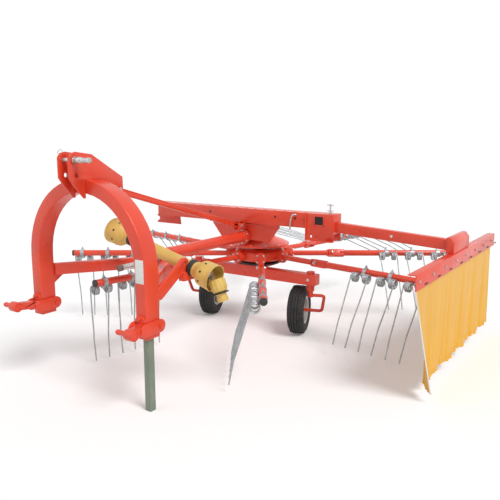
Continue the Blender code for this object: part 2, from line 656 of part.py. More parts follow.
def far_fork():
    """Forked plate hung under the channel's right end."""
    outline = ((-0.830, CHANNEL_LOW - GAP), (-0.660, CHANNEL_LOW - GAP), (-0.650, 0.765), (-0.905, 0.765),
               (-0.905, 0.780), (-0.880, 0.792), (-0.880, 0.812), (-0.905, 0.824), (-0.905, CHANNEL_LOW - GAP))
    upright = plate(outline, "Y", CHANNEL_Y - 0.006, CHANNEL_Y + 0.006)
    top = block((-0.845, CHANNEL_Y - CHANNEL_D / 2, CHANNEL_LOW - 0.008 - GAP),
                (-0.665, CHANNEL_Y + CHANNEL_D / 2, CHANNEL_LOW - GAP))
    return finish(combine(top, [upright]), "far_fork", "red_paint")


def curtain_slide(parent):
    """Rectangular tube that carries the curtain rail and slides in the guide."""
    half = math.dist((SLIDE_X[0], SLIDE_Z[0]), (SLIDE_X[1], SLIDE_Z[1])) / 2
    w, h = SLIDE_W / 2, SLIDE_H / 2
    body = block((-half, -w, -h), (half, w, h), slide_matrix())
    bore = block((-half - 0.1, -w + 0.005, -h + 0.005), (half + 0.1, w - 0.005, h - 0.005), slide_matrix())
    combine(body, [bore], "DIFFERENCE")
    return finish(body, "curtain_slide", "red_paint", pivot=slide_matrix().translation, parent=parent)


def slide_end(parent):
    """Long folded bracket that closes the slide's outer end and bolts to the rail."""
    dip = math.atan2(SLIDE_Z[0] - SLIDE_Z[1], SLIDE_X[1] - SLIDE_X[0])
    x = SLIDE_X[1] + SLIDE_H / 2 * math.sin(dip) + GAP
    foot = RAIL_Z[1] + GAP
    outline = ((x, foot), (RAIL_X - 0.003, foot), (RAIL_X - 0.003, 0.826), (x + 0.026, 0.857), (x, 0.857))
    body = plate(outline, "Y", -0.250, 0.100)
    return finish(body, "slide_end", "red_paint", pivot=slide_matrix().translation, parent=parent)


def curtain_rail(parent):
    """Angle rail that clamps the curtain's top edge."""
    outline = ((RAIL_X, RAIL_Z[0]), (RAIL_X + 0.006, RAIL_Z[0]), (RAIL_X + 0.006, RAIL_Z[1]),
               (RAIL_X - 0.044, RAIL_Z[1]), (RAIL_X - 0.044, RAIL_Z[1] - 0.006), (RAIL_X, RAIL_Z[1] - 0.006))
    body = plate(outline, "Y", RAIL_Y[0], RAIL_Y[1])
    return finish(body, "curtain_rail", "red_paint", pivot=slide_matrix().translation, parent=parent)


def curtain(parent):
    """Hanging cloth, as a thin closed sheet that drifts outward towards its front lower corner."""
    columns = 14
    drops = (0.0, 0.14, 0.40, 0.70, 1.0)
    rows = len(drops) - 1
    bm = bmesh.new()
    skins = []
    for offset in (0.0, -CURTAIN_T):
        grid = []
        for j in range(rows + 1):
            drop = drops[j]
            line = []
            for i in range(columns + 1):
                back = i / columns
                y = CURTAIN_Y[0] + (CURTAIN_Y[1] - CURTAIN_Y[0]) * back
                z = CURTAIN_Z[1] + (CURTAIN_Z[0] - CURTAIN_Z[1]) * drop
                flare = max(0.0, 1.0 - back / 0.22) ** 2
                hang = max(0.0, drop - 0.14)
                y += 0.140 * flare * hang
                z -= 0.030 * flare * hang
                x = RAIL_X - GAP + offset + 0.070 * flare * hang
                line.append(bm.verts.new((x, y, z)))
            grid.append(line)
        skins.append(grid)
    for grid in skins:
        for j in range(rows):
            for i in range(columns):
                bm.faces.new((grid[j][i], grid[j][i + 1], grid[j + 1][i + 1], grid[j + 1][i]))
    outer, inner = skins
    rim_out = outer[0] + [line[-1] for line in outer[1:]] + outer[-1][-2::-1] + [line[0] for line in outer[-2:0:-1]]
    rim_in = inner[0] + [line[-1] for line in inner[1:]] + inner[-1][-2::-1] + [line[0] for line in inner[-2:0:-1]]
    for i in range(len(rim_out)):
        k = (i + 1) % len(rim_out)
        bm.faces.new((rim_out[i], rim_out[k], rim_in[k], rim_in[i]))
    body = as_object(bm)
    return finish(body, "curtain", "curtain_cloth", pivot=slide_matrix().translation, parent=parent)


# ---- stowed drive shaft ------------------------------------------------------------------
def pto_point(along_x):
    """Point of the drive shaft's axis at a distance from the far end of its guard tube."""
    a = Vector((PTO_A[0], PTO_Y, PTO_A[1]))
    b = Vector((PTO_B[0], PTO_Y, PTO_B[1]))
    return a + (b - a).normalized() * along_x


def pto_length():
    return math.dist(PTO_A, PTO_B)


def pto_guard_tube():
    body = rod(pto_point(0), pto_point(pto_length()), PTO_R, 24)
    return finish(body, "pto_guard_tube", "yellow_plastic", smooth=True)


def pto_bell(name, at, way):
    """Guard bell: narrow neck against the guard tube, open wide mouth."""
    a = pto_point(at)
    matrix = along(a, pto_point(at + way)).copy()
    matrix.translation = a
    body = lathe(((0.014, 0.0), (0.044, 0.0), (0.050, 0.030), (0.072, 0.060), (0.078, 0.150), (0.074, 0.150),
                  (0.068, 0.064), (0.046, 0.036), (0.040, 0.012), (0.014, 0.012)), 22, matrix)
    return finish(body, name, "yellow_plastic", smooth=True)


def pto_yoke(name, at, way, length):
    """Steel yoke inside a bell, its shank in the bell's neck."""
    a = pto_point(at)
    direction = (pto_point(at + way) - a).normalized()
    shank = rod(a + direction * 0.0003, a + direction * length, 0.0135, 16)
    ring = rod(a + direction * 0.040, a + direction * (length - 0.026), 0.030, 20)
    return finish(combine(shank, [ring]), name, "bright_steel")


def pto_clutch():
    """Overload clutch that hangs bent down from the near yoke."""
    a = pto_point(pto_length() + 0.158)
    way = Vector((0.38, 0.0, -0.925)).normalized()
    body = rod(a, a + way * 0.075, 0.044, 24)
    neck = rod(a + way * 0.065, a + way * 0.090, 0.034, 20)
    end = rod(a + way * 0.085, a + way * 0.130, 0.030, 24)
    combine(body, [neck, end])
    bore = rod(a + way * 0.100, a + way * 0.2, 0.0175, 20)
    combine(body, [bore], "DIFFERENCE")
    return finish(body, "pto_clutch", "yellow_plastic")


def pto_rest():
    """Flat bar on the left leg that rises to a cradle for the stowed shaft."""
    back = ARCH_Y + ARCH_D / 2 + GAP
    low = (back + 0.02, 0.640)
    high = (PTO_Y - 0.052, 0.772)
    x = 0.445
    level = 0.748                # height of the shaft above the cradle
    bar = plate(rounded(low, high, 0.034), "X", x - 0.009, x + 0.009)
    trim = block((x - 0.1, back - 0.2, 0.4), (x + 0.1, back, 1.0))
    combine(bar, [trim], "DIFFERENCE")
    shelf = block((x - 0.020, high[0] - 0.02, level - 0.074), (x + 0.020, PTO_Y + 0.030, level - 0.022))
    web = block((x - 0.009, high[0] - 0.02, level - 0.070), (x + 0.009, high[0] + 0.020, level + 0.020))
    combine(bar, [shelf, web])
    hole = rod((x - 0.1, *high), (x + 0.1, *high), 0.011, 16)
    clear = rod(pto_point(-0.2), pto_point(pto_length() + 0.1), PTO_R + GAP, 32)
    combine(bar, [hole, clear], "DIFFERENCE")
    return finish(bar, "pto_rest", "red_paint")


# ---- the whole machine -------------------------------------------------------------------
def centre_on_base():
    """Moves the machine so that the middle of its box is over the origin."""
    shift = Vector((*BASE_SHIFT, 0))
    for obj in bpy.data.objects:
        if obj.parent is None:
            obj.location += shift


def build():
    for obj in list(bpy.data.objects):
        bpy.data.objects.remove(obj)

    headstock_arch()
    top_link_ears()
    top_link_pin()
    for name, side in (("left", 1), ("right", -1)):
        lower_foot(f"lower_foot_{name}", side)
        lower_pin(f"lower_pin_{name}", side)
        frame_strut(f"frame_strut_{name}", side)
    parking_stand()

    main_tube()
    input_stub()
    top_stay()
    stay_bolt("stay_bolt_front", STAY_FRONT, EAR_X + EAR_T / 2)
    stay_bolt("stay_bolt_rear", STAY_REAR, STAY_W / 2 + 0.010 + GAP)
    headplate()
    gearbox()

    wheel_beam()
    centre_column()
    cam_plate()

    rotor = pivot_empty("rotor_axis", (0, 0, ARM_Z))
    rotor_hub(rotor)
    for k, roll in ARM_ROLLS:
        arm_shaft(k, roll, rotor)
        tine_arm(k, roll, rotor)

    for name, side in (("left", 1), ("right", -1)):
        stem = pivot_empty(f"castor_axis_{name}", (side * STEM_X, BEAM_Y, 0.4))
        castor_leg(side, name, stem)
        rim(side, name, stem)
        tyre(side, name, stem)

    guide_channel()
    near_guide()
    guide_screw()
    far_fork()
    slide = pivot_empty("slide_axis", slide_matrix().translation)
    curtain_slide(slide)
    slide_end(slide)
    curtain_rail(slide)
    curtain(slide)

    pto_guard_tube()
    pto_bell("pto_bell_far", -0.0003, -1)
    pto_bell("pto_bell_near", pto_length() + 0.0003, 1)
    pto_yoke("pto_yoke_far", -0.0003, -1, 0.13)
    pto_yoke("pto_yoke_near", pto_length() + 0.0003, 1, 0.1397)
    pto_clutch()
    pto_rest()

    centre_on_base()


build()
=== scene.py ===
import json
import math
import bpy
from mathutils import Matrix, Vector

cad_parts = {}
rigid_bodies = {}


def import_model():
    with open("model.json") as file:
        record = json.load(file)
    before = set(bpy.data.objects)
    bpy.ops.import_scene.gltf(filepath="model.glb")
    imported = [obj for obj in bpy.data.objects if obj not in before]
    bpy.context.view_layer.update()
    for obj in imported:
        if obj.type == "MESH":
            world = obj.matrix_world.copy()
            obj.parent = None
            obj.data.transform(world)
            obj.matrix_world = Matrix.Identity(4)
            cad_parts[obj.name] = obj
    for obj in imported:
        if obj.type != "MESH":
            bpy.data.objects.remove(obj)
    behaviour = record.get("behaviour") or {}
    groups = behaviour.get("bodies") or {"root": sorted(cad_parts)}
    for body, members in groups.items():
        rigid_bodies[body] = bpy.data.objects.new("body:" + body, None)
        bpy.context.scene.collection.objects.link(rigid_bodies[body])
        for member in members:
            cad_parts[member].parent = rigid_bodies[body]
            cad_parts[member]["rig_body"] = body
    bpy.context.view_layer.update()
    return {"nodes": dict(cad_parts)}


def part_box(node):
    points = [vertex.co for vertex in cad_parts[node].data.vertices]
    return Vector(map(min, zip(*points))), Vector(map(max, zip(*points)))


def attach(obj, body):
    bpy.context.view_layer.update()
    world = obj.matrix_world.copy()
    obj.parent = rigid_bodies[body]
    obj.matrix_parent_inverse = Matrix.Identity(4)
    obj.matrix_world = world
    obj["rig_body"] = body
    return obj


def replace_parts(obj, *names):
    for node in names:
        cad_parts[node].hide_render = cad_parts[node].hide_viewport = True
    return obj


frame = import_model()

# the rotor's axis, from the full ring of the cam plate; every place below is measured from it
camLow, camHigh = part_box("cam_plate")
axisSpot = Vector(((camLow[0] + camHigh[0]) / 2, (camLow[1] + camHigh[1]) / 2, 0))
shelf = Matrix.Translation(axisSpot)
print("frame loaded, rotor axis at", tuple(round(v, 4) for v in axisSpot))


# small modelling helpers
def clearAll():
    if bpy.context.object and bpy.context.object.mode != "OBJECT":
        bpy.ops.object.mode_set(mode="OBJECT")
    bpy.ops.object.select_all(action="DESELECT")


def pick(obj):
    clearAll()
    obj.select_set(True)
    bpy.context.view_layer.objects.active = obj
    return obj


def useModifier(obj, kind, **values):
    pick(obj)
    step = obj.modifiers.new(kind.lower(), kind)
    for key, value in values.items():
        setattr(step, key, value)
    bpy.ops.object.modifier_apply(modifier=step.name)
    return obj


def soften(obj, width, segments=2, angle=38):
    return useModifier(obj, "BEVEL", width=width, segments=segments, limit_method="ANGLE",
                       angle_limit=math.radians(angle), harden_normals=False)


def roundBar(a, b, radius, sides=24, edge=0.001, endRadius=None):
    a, b = Vector(a), Vector(b)
    clearAll()
    bpy.ops.mesh.primitive_cone_add(vertices=sides, radius1=radius, depth=(b - a).length,
                                    radius2=radius if endRadius is None else endRadius,
                                    location=(a + b) / 2, rotation=(b - a).to_track_quat("Z", "Y").to_euler())
    obj = bpy.context.object
    bpy.ops.object.transform_apply()
    return soften(obj, edge) if edge else obj


def slab(low, high, edge=0.0015):
    low, high = Vector(low), Vector(high)
    clearAll()
    bpy.ops.mesh.primitive_cube_add(size=1, location=(low + high) / 2, scale=high - low)
    obj = bpy.context.object
    bpy.ops.object.transform_apply()
    return soften(obj, edge) if edge else obj


def wire(points, radius, resolution=2, closed=False):
    clearAll()
    bpy.ops.curve.primitive_nurbs_path_add()
    obj = bpy.context.object
    data = obj.data
    data.splines.clear()
    line = data.splines.new("POLY")
    line.points.add(len(points) - 1)
    for knot, place in zip(line.points, points):
        knot.co = (*place, 1.0)
    line.use_cyclic_u = closed
    data.bevel_depth = radius
    data.bevel_resolution = resolution
    data.use_fill_caps = not closed
    bpy.ops.object.convert(target="MESH")
    return bpy.context.object


def turned(profile, sides=40):
    # spins an outline of (radius, height) points about Z
    clearAll()
    mesh = bpy.data.meshes.new("outline")
    mesh.from_pydata([(r, 0, z) for r, z in profile], [(i, i + 1) for i in range(len(profile) - 1)], [])
    obj = bpy.data.objects.new("outline", mesh)
    bpy.context.scene.collection.objects.link(obj)
    pick(obj)
    bpy.ops.object.mode_set(mode="EDIT")
    bpy.ops.mesh.select_all(action="SELECT")
    bpy.ops.mesh.spin(steps=sides, angle=2 * math.pi, center=(0, 0, 0), axis=(0, 0, 1))
    bpy.ops.mesh.select_all(action="SELECT")
    bpy.ops.mesh.remove_doubles(threshold=1e-5)
    bpy.ops.mesh.normals_make_consistent(inside=False)
    bpy.ops.object.mode_set(mode="OBJECT")
    return obj


def ring(centre, way, radius, thick, major=28, minor=8):
    clearAll()
    bpy.ops.mesh.primitive_torus_add(major_radius=radius, minor_radius=thick, major_segments=major,
                                     minor_segments=minor, location=centre,
                                     rotation=Vector(way).to_track_quat("Z", "Y").to_euler())
    bpy.ops.object.transform_apply()
    return bpy.context.object


def joined(parts):
    pick(parts[0])
    for part in parts:
        part.select_set(True)
    if len(parts) > 1:
        bpy.ops.object.join()
    return bpy.context.object


def moved(obj, matrix):
    obj.data.transform(matrix)
    return obj


def copyAt(master, matrix):
    # a copy with its own mesh, put at its place in the mesh
    other = bpy.data.objects.new(master.name, master.data.copy())
    bpy.context.scene.collection.objects.link(other)
    return moved(other, matrix)


def drop(obj):
    bpy.data.objects.remove(obj)


def aim(spot, way):
    # matrix that stands a piece's Z along way at spot
    return Matrix.Translation(Vector(spot)) @ Vector(way).to_track_quat("Z", "Y").to_matrix().to_4x4()


def placed(obj, name, body, material, angle=35, world=True):
    if world:
        moved(obj, shelf)
    obj.name = name
    obj.data.name = name
    obj.data.materials.clear()
    obj.data.materials.append(material)
    pick(obj)
    bpy.ops.object.shade_smooth_by_angle(angle=math.radians(angle))
    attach(obj, body)
    return obj


# finishes
def link(tree, source, output, target, socket):
    tree.links.new(source.outputs[output], target.inputs[socket])


def madeFinish(name, look):
    # one procedural finish: two tones, dust in patches, uneven gloss and a fine bump
    material = bpy.data.materials.new(name)
    material.use_nodes = True
    tree = material.node_tree
    shader = tree.nodes["Principled BSDF"]
    place = tree.nodes.new("ShaderNodeTexCoord")
    for key, value in look.get("sockets", {}).items():
        shader.inputs[key].default_value = value

    def noise(scale, detail, roughness=0.55):
        node = tree.nodes.new("ShaderNodeTexNoise")
        node.inputs["Scale"].default_value = scale
        node.inputs["Detail"].default_value = detail
        node.inputs["Roughness"].default_value = roughness
        link(tree, place, "Object", node, "Vector")
        return node

    def ramp(source, low, high):
        node = tree.nodes.new("ShaderNodeMapRange")
        node.inputs["From Min"].default_value = low
        node.inputs["From Max"].default_value = high
        link(tree, source, "Fac", node, "Value")
        return node

    def mix(factor, amount, a, b):
        node = tree.nodes.new("ShaderNodeMix")
        node.data_type = "RGBA"
        scaled = tree.nodes.new("ShaderNodeMath")
        scaled.operation = "MULTIPLY"
        scaled.inputs[1].default_value = amount
        tree.links.new(factor.outputs[0], scaled.inputs[0])
        tree.links.new(scaled.outputs[0], node.inputs[0])
        for socket, value in ((6, a), (7, b)):
            if hasattr(value, "outputs"):
                tree.links.new(value.outputs[2], node.inputs[socket])
            else:
                node.inputs[socket].default_value = (*value, 1)
        return node

    tone = mix(ramp(noise(look["patch"], 5), 0.35, 0.65), 1.0, look["colour"], look["second"])
    dust = mix(ramp(noise(look.get("dustScale", 9), 9, 0.7), look.get("dustFrom", 0.56), 0.78),
               look.get("dust", 0.35), tone, look.get("dustColour", (0.30, 0.24, 0.19)))
    tree.links.new(dust.outputs[2], shader.inputs["Base Color"])
    gloss = tree.nodes.new("ShaderNodeMapRange")
    gloss.inputs["From Min"].default_value = 0.3
    gloss.inputs["From Max"].default_value = 0.7
    gloss.inputs["To Min"].default_value = look["rough"][0]
    gloss.inputs["To Max"].default_value = look["rough"][1]
    link(tree, noise(look["patch"] * 3.1, 6), "Fac", gloss, "Value")
    tree.links.new(gloss.outputs[0], shader.inputs["Roughness"])
    bump = tree.nodes.new("ShaderNodeBump")
    bump.inputs["Strength"].default_value = look["bump"][1]
    bump.inputs["Distance"].default_value = look["bump"][2]
    link(tree, noise(look["bump"][0], 3), "Fac", bump, "Height")
    tree.links.new(bump.outputs[0], shader.inputs["Normal"])
    return material


redPaint = madeFinish("redPaint", {
    "colour": (0.80, 0.062, 0.022), "second": (0.70, 0.050, 0.019), "patch": 4.0,
    "rough": (0.24, 0.42), "bump": (260, 0.10, 0.0006), "dust": 0.22, "dustScale": 11, "dustFrom": 0.55,
    "dustColour": (0.42, 0.12, 0.06), "sockets": {"Coat Weight": 0.25, "Coat Roughness": 0.2}})
standPaint = madeFinish("standPaint", {
    "colour": (0.225, 0.275, 0.205), "second": (0.165, 0.205, 0.155), "patch": 9.0,
    "rough": (0.45, 0.65), "bump": (180, 0.25, 0.0008), "dust": 0.7, "dustScale": 22, "dustFrom": 0.52,
    "dustColour": (0.30, 0.27, 0.21)})
galvanised = madeFinish("galvanised", {
    "colour": (0.50, 0.53, 0.55), "second": (0.34, 0.37, 0.39), "patch": 26.0,
    "rough": (0.34, 0.55), "bump": (420, 0.15, 0.0004), "dust": 0.35, "dustScale": 40,
    "dustColour": (0.25, 0.23, 0.21), "sockets": {"Metallic": 0.72}})
brightSteel = madeFinish("brightSteel", {
    "colour": (0.66, 0.66, 0.64), "second": (0.50, 0.50, 0.50), "patch": 30.0,
    "rough": (0.22, 0.40), "bump": (500, 0.10, 0.0003), "dust": 0.3, "dustScale": 50,
    "dustColour": (0.30, 0.22, 0.15), "sockets": {"Metallic": 0.9}})
greasySteel = madeFinish("greasySteel", {
    "colour": (0.24, 0.20, 0.17), "second": (0.13, 0.10, 0.085), "patch": 22.0,
    "rough": (0.35, 0.6), "bump": (300, 0.3, 0.0006), "dust": 0.5, "dustScale": 30,
    "dustColour": (0.22, 0.10, 0.05), "sockets": {"Metallic": 0.6}})
yellowPlastic = madeFinish("yellowPlastic", {
    "colour": (0.74, 0.50, 0.135), "second": (0.66, 0.42, 0.10), "patch": 10.0,
    "rough": (0.38, 0.52), "bump": (190, 0.15, 0.0006), "dust": 0.45, "dustScale": 16,
    "dustColour": (0.30, 0.22, 0.12)})
blackPlastic = madeFinish("blackPlastic", {
    "colour": (0.022, 0.022, 0.023), "second": (0.035, 0.034, 0.033), "patch": 14.0,
    "rough": (0.40, 0.62), "bump": (240, 0.2, 0.0005), "dust": 0.35, "dustColour": (0.09, 0.08, 0.07)})
tyreRubber = madeFinish("tyreRubber", {
    "colour": (0.018, 0.018, 0.019), "second": (0.030, 0.029, 0.028), "patch": 12.0,
    "rough": (0.62, 0.85), "bump": (150, 0.35, 0.0010), "dust": 0.6, "dustScale": 14,
    "dustColour": (0.10, 0.085, 0.07)})
rimPaint = madeFinish("rimPaint", {
    "colour": (0.50, 0.51, 0.50), "second": (0.38, 0.39, 0.39), "patch": 12.0,
    "rough": (0.32, 0.5), "bump": (220, 0.15, 0.0006), "dust": 0.5, "dustScale": 18,
    "dustColour": (0.20, 0.16, 0.12), "sockets": {"Metallic": 0.25}})
plateCoat = madeFinish("plateCoat", {
    "colour": (0.80, 0.80, 0.77), "second": (0.72, 0.72, 0.69), "patch": 20.0,
    "rough": (0.30, 0.45), "bump": (300, 0.05, 0.0003), "dust": 0.25, "dustColour": (0.45, 0.42, 0.38)})
# near-black finish for holes, slots, the clutch neck and the bore: painted shade put where the real object shows
# only shade
paintedGapShade = madeFinish("paintedGapShade", {
    "colour": (0.012, 0.010, 0.010), "second": (0.020, 0.016, 0.015), "patch": 20.0,
    "rough": (0.7, 0.9), "bump": (200, 0.1, 0.0004), "dust": 0.1})


def clothFinish():
    # coated canvas: fine weave, sewn seams across the width, a darker hem and patchy tone
    material = bpy.data.materials.new("curtainCloth")
    material.use_nodes = True
    tree = material.node_tree
    shader = tree.nodes["Principled BSDF"]
    shader.inputs["Sheen Weight"].default_value = 0.15
    place = tree.nodes.new("ShaderNodeTexCoord")
    spread = tree.nodes.new("ShaderNodeMapping")
    link(tree, place, "UV", spread, "Vector")
    split = tree.nodes.new("ShaderNodeSeparateXYZ")
    link(tree, spread, "Vector", split, "Vector")

    def maths(kind, a, b=None, c=None):
        node = tree.nodes.new("ShaderNodeMath")
        node.operation = kind
        for slotNumber, value in enumerate((a, b, c)):
            if value is None:
                continue
            if hasattr(value, "links"):
                tree.links.new(value, node.inputs[slotNumber])
            else:
                node.inputs[slotNumber].default_value = value
        return node.outputs[0]

    def noise(scale, detail):
        node = tree.nodes.new("ShaderNodeTexNoise")
        node.inputs["Scale"].default_value = scale
        node.inputs["Detail"].default_value = detail
        link(tree, place, "Object", node, "Vector")
        return node.outputs["Fac"]

    def weave(source, count):
        return maths("SINE", maths("MULTIPLY", source, count * 2 * math.pi))

    u, v = split.outputs["X"], split.outputs["Y"]
    threads = maths("MULTIPLY", weave(u, 900), weave(v, 380))
    seam = None
    for spot in clothSpec["seams"]:
        near = maths("LESS_THAN", maths("ABSOLUTE", maths("SUBTRACT", u, spot)), 0.0016)
        seam = near if seam is None else maths("MAXIMUM", seam, near)
    for spot in clothSpec["rows"]:
        near = maths("LESS_THAN", maths("ABSOLUTE", maths("SUBTRACT", v, spot)), 0.0035)
        seam = maths("MAXIMUM", seam, near)
    patchy = maths("MULTIPLY_ADD", noise(5, 5), 0.5, 0.25)
    colour = tree.nodes.new("ShaderNodeMix")
    colour.data_type = "RGBA"
    colour.inputs[6].default_value = (*clothSpec["colour"], 1)
    colour.inputs[7].default_value = (*clothSpec["shade"], 1)
    tree.links.new(maths("MAXIMUM", patchy, maths("MULTIPLY", seam, 0.95)), colour.inputs[0])
    tree.links.new(colour.outputs[2], shader.inputs["Base Color"])
    tree.links.new(maths("MULTIPLY_ADD", noise(12, 4), 0.25, 0.40), shader.inputs["Roughness"])
    bump = tree.nodes.new("ShaderNodeBump")
    bump.inputs["Strength"].default_value = 0.25
    bump.inputs["Distance"].default_value = 0.0012
    height = maths("ADD", maths("MULTIPLY", threads, 0.12), maths("SUBTRACT", noise(38, 4), seam))
    tree.links.new(height, bump.inputs["Height"])
    tree.links.new(bump.outputs[0], shader.inputs["Normal"])
    return material


clothSpec = {"colour": (0.86, 0.46, 0.022), "shade": (0.70, 0.34, 0.016),
             "seams": (0.035, 0.345, 0.655, 0.975), "rows": (0.045, 0.93)}
curtainCloth = clothFinish()
print("finishes made")


# frame members: merged copies of the CAD shapes with softened edges
def softened(node, name, material, width=0.002, segments=2, angle=38):
    source = frame["nodes"][node]
    obj = bpy.data.objects.new(name, source.data.copy())
    bpy.context.scene.collection.objects.link(obj)
    pick(obj)
    bpy.ops.object.mode_set(mode="EDIT")
    bpy.ops.mesh.select_all(action="SELECT")
    bpy.ops.mesh.remove_doubles(threshold=2e-5)
    bpy.ops.mesh.dissolve_limited(angle_limit=math.radians(0.6))
    bpy.ops.object.mode_set(mode="OBJECT")
    useModifier(obj, "BEVEL", width=width, segments=segments, limit_method="ANGLE",
                angle_limit=math.radians(angle), use_clamp_overlap=False)
    body = source["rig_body"]
    placed(obj, name, body, material, world=False)
    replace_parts(obj, node)
    return obj


# CAD node, new name, finish, slot, edge width, segments, smoothing angle
softSpec = (
    ("headstock_arch", "arch_tube", redPaint, "red_paint", 0.007, 4, 60),
    ("top_link_ears", "ear_plates", redPaint, "red_paint", 0.0015, 2, 38),
    ("lower_foot_left", "foot_plates_left", redPaint, "red_paint", 0.0015, 2, 38),
    ("lower_foot_right", "foot_plates_right", redPaint, "red_paint", 0.0015, 2, 38),
    ("frame_strut_left", "strut_tube_left", redPaint, "red_paint", 0.005, 3, 38),
    ("frame_strut_right", "strut_tube_right", redPaint, "red_paint", 0.005, 3, 38),
    ("parking_stand", "stand_tube", standPaint, "stand_paint", 0.004, 3, 38),
    ("top_stay", "stay_bar", redPaint, "red_paint", 0.003, 2, 60),
    ("headplate", "head_plate_shell", redPaint, "red_paint", 0.0015, 2, 38),
    ("wheel_beam", "beam_tube", redPaint, "red_paint", 0.004, 3, 60),
    ("guide_channel", "channel_shell", redPaint, "red_paint", 0.0025, 2, 38),
    ("near_guide", "guide_sleeve", redPaint, "red_paint", 0.0015, 2, 60),
    ("far_fork", "fork_plate", redPaint, "red_paint", 0.0015, 2, 38),
    ("curtain_slide", "slide_tube", redPaint, "red_paint", 0.004, 3, 38),
    ("slide_end", "slide_bracket", redPaint, "red_paint", 0.002, 2, 30),
    ("curtain_rail", "rail_angle", redPaint, "red_paint", 0.0012, 2, 38),
    ("pto_rest", "rest_bar", redPaint, "red_paint", 0.0012, 2, 60),
)
for node, name, material, slot, width, segments, angle in softSpec:
    softened(node, name, material, width, segments, angle)
print("frame members softened")

plainSpec = {
    redPaint: ["main_tube", "gearbox", "centre_column", "rotor_hub", "lower_pin_left", "lower_pin_right",
               "castor_leg_left", "castor_leg_right"] + [f"arm_shaft_{k}" for k in range(1, 9)],
    brightSteel: ["top_link_pin", "guide_screw", "stay_bolt_front", "stay_bolt_rear", "input_stub", "pto_yoke_far",
                  "pto_yoke_near"],
    blackPlastic: ["cam_plate"],
    yellowPlastic: ["pto_guard_tube", "pto_bell_far", "pto_bell_near", "pto_clutch"],
    rimPaint: ["rim_left", "rim_right"],
    tyreRubber: ["tyre_left", "tyre_right"],
}
for material, names in plainSpec.items():
    for name in names:
        for holder in frame["nodes"][name].material_slots:
            holder.material = material
print("plain finishes given")


# a hexagon bolt with washer, standing up from z = 0, for a 10 mm thread
def hexBolt():
    washer = roundBar((0, 0, 0), (0, 0, 0.0020), 0.0105, 20, 0.0004)
    head = roundBar((0, 0, 0.0018), (0, 0, 0.0088), 0.0092, 6, 0.0006)
    crown = roundBar((0, 0, 0.0070), (0, 0, 0.0094), 0.0070, 20, 0.0006)
    return joined([washer, head, crown])


def nutAndThread():
    washer = roundBar((0, 0, 0), (0, 0, 0.0020), 0.0105, 20, 0.0004)
    nut = roundBar((0, 0, 0.0018), (0, 0, 0.0100), 0.0092, 6, 0.0006)
    thread = [(0.0, 0.0200)]
    for step in range(11):
        z = 0.0200 - step * 0.0012
        thread += [(0.0046, z), (0.0052, z - 0.0006)]
    thread += [(0.0046, 0.0060), (0.0, 0.0060)]
    return joined([washer, nut, turned(thread, 14)])


boltMaster = hexBolt()
nutMaster = nutAndThread()


def boltSet(name, body, spots, material=brightSteel, scale=1.0, world=True):
    parts = []
    for spot, way, kind in spots:
        master = nutMaster if kind == "nut" else boltMaster
        parts.append(copyAt(master, aim(spot, way) @ Matrix.Scale(scale, 4)))
    return placed(joined(parts), name, body, material, world=world)


# rotating arms
armSpec = {
    "count": 8, "phase": 34.0, "height": 0.560, "rolls": (-28.0, -58.0, -58.0, -20.0, 14.0, 14.0, 0.0, -9.0),
    "inner": 0.640, "outer": 1.500, "radius": 0.023, "tines": (1.015, 1.220, 1.425),
    "fork": 0.550, "pin": 0.578,
}
tineSpec = {
    "wire": 0.0047, "coil": 0.0293, "centre": (-0.0498, -0.0418), "turns": 3, "steps": 18, "from": 0.0262,
    "to": 0.0652, "kink": (-0.116, -0.300), "tip": (-0.150, -0.463), "drift": (0.008, -0.022), "saddle": -50.0,
}


def smoothPath(points, each=5):
    # rounded path through the points
    path = []
    for i in range(len(points) - 1):
        before = points[max(i - 1, 0)]
        a, b = points[i], points[i + 1]
        after = points[min(i + 2, len(points) - 1)]
        for step in range(each):
            t = step / each
            path.append(0.5 * ((2 * a) + (b - before) * t + (2 * before - 5 * a + 4 * b - after) * t * t
                               + (3 * a - before - 3 * b + after) * t ** 3))
    return path + [points[-1]]


def doubleTine():
    # one wire: tip, coil, the clamped bridge, coil, tip
    spec = tineSpec
    midY, midZ = spec["centre"]
    start = math.radians(90 + spec["saddle"])

    def half(side):
        points = []
        total = spec["turns"] * spec["steps"] + round(spec["steps"] * (math.pi - start) / (2 * math.pi))
        for i in range(total + 1):
            angle = start + (math.pi - start + 2 * math.pi * spec["turns"]) * i / total
            x = spec["from"] + (spec["to"] - spec["from"]) * i / total
            points.append(Vector((side * x, midY + spec["coil"] * math.cos(angle),
                                  midZ + spec["coil"] * math.sin(angle))))
        drift = spec["drift"][0 if side < 0 else 1]
        end, y = side * spec["to"], midY - spec["coil"]
        kinkY, kinkZ = midY + spec["kink"][0], midZ + spec["kink"][1]
        tipY, tipZ = midY + spec["tip"][0], midZ + spec["tip"][1]
        down = [points[-1], Vector((end, y - 0.001, midZ - 0.014)), Vector((end, y - 0.008, midZ - 0.036)),
                Vector((end + drift * 0.3, y + (kinkY - y) * 0.5, midZ + spec["kink"][1] * 0.53)),
                Vector((end + drift * 0.68, kinkY + 0.010, kinkZ + 0.032)),
                Vector((end + drift * 0.73, kinkY - 0.004, kinkZ - 0.012)),
                Vector((end + drift * 0.85, (kinkY + tipY) / 2 - 0.001, (kinkZ + tipZ) / 2)),
                Vector((end + drift, tipY, tipZ))]
        return points[:-1] + smoothPath(down, 4)
    left, right = half(-1), half(1)
    hook = Vector((0, midY + spec["coil"] * math.cos(start), midZ + spec["coil"] * math.sin(start)))
    bridge = [hook + Vector((x, 0, 0)) for x in (-0.014, 0.0, 0.014)]
    return wire(list(reversed(left)) + bridge + right, spec["wire"], 2)


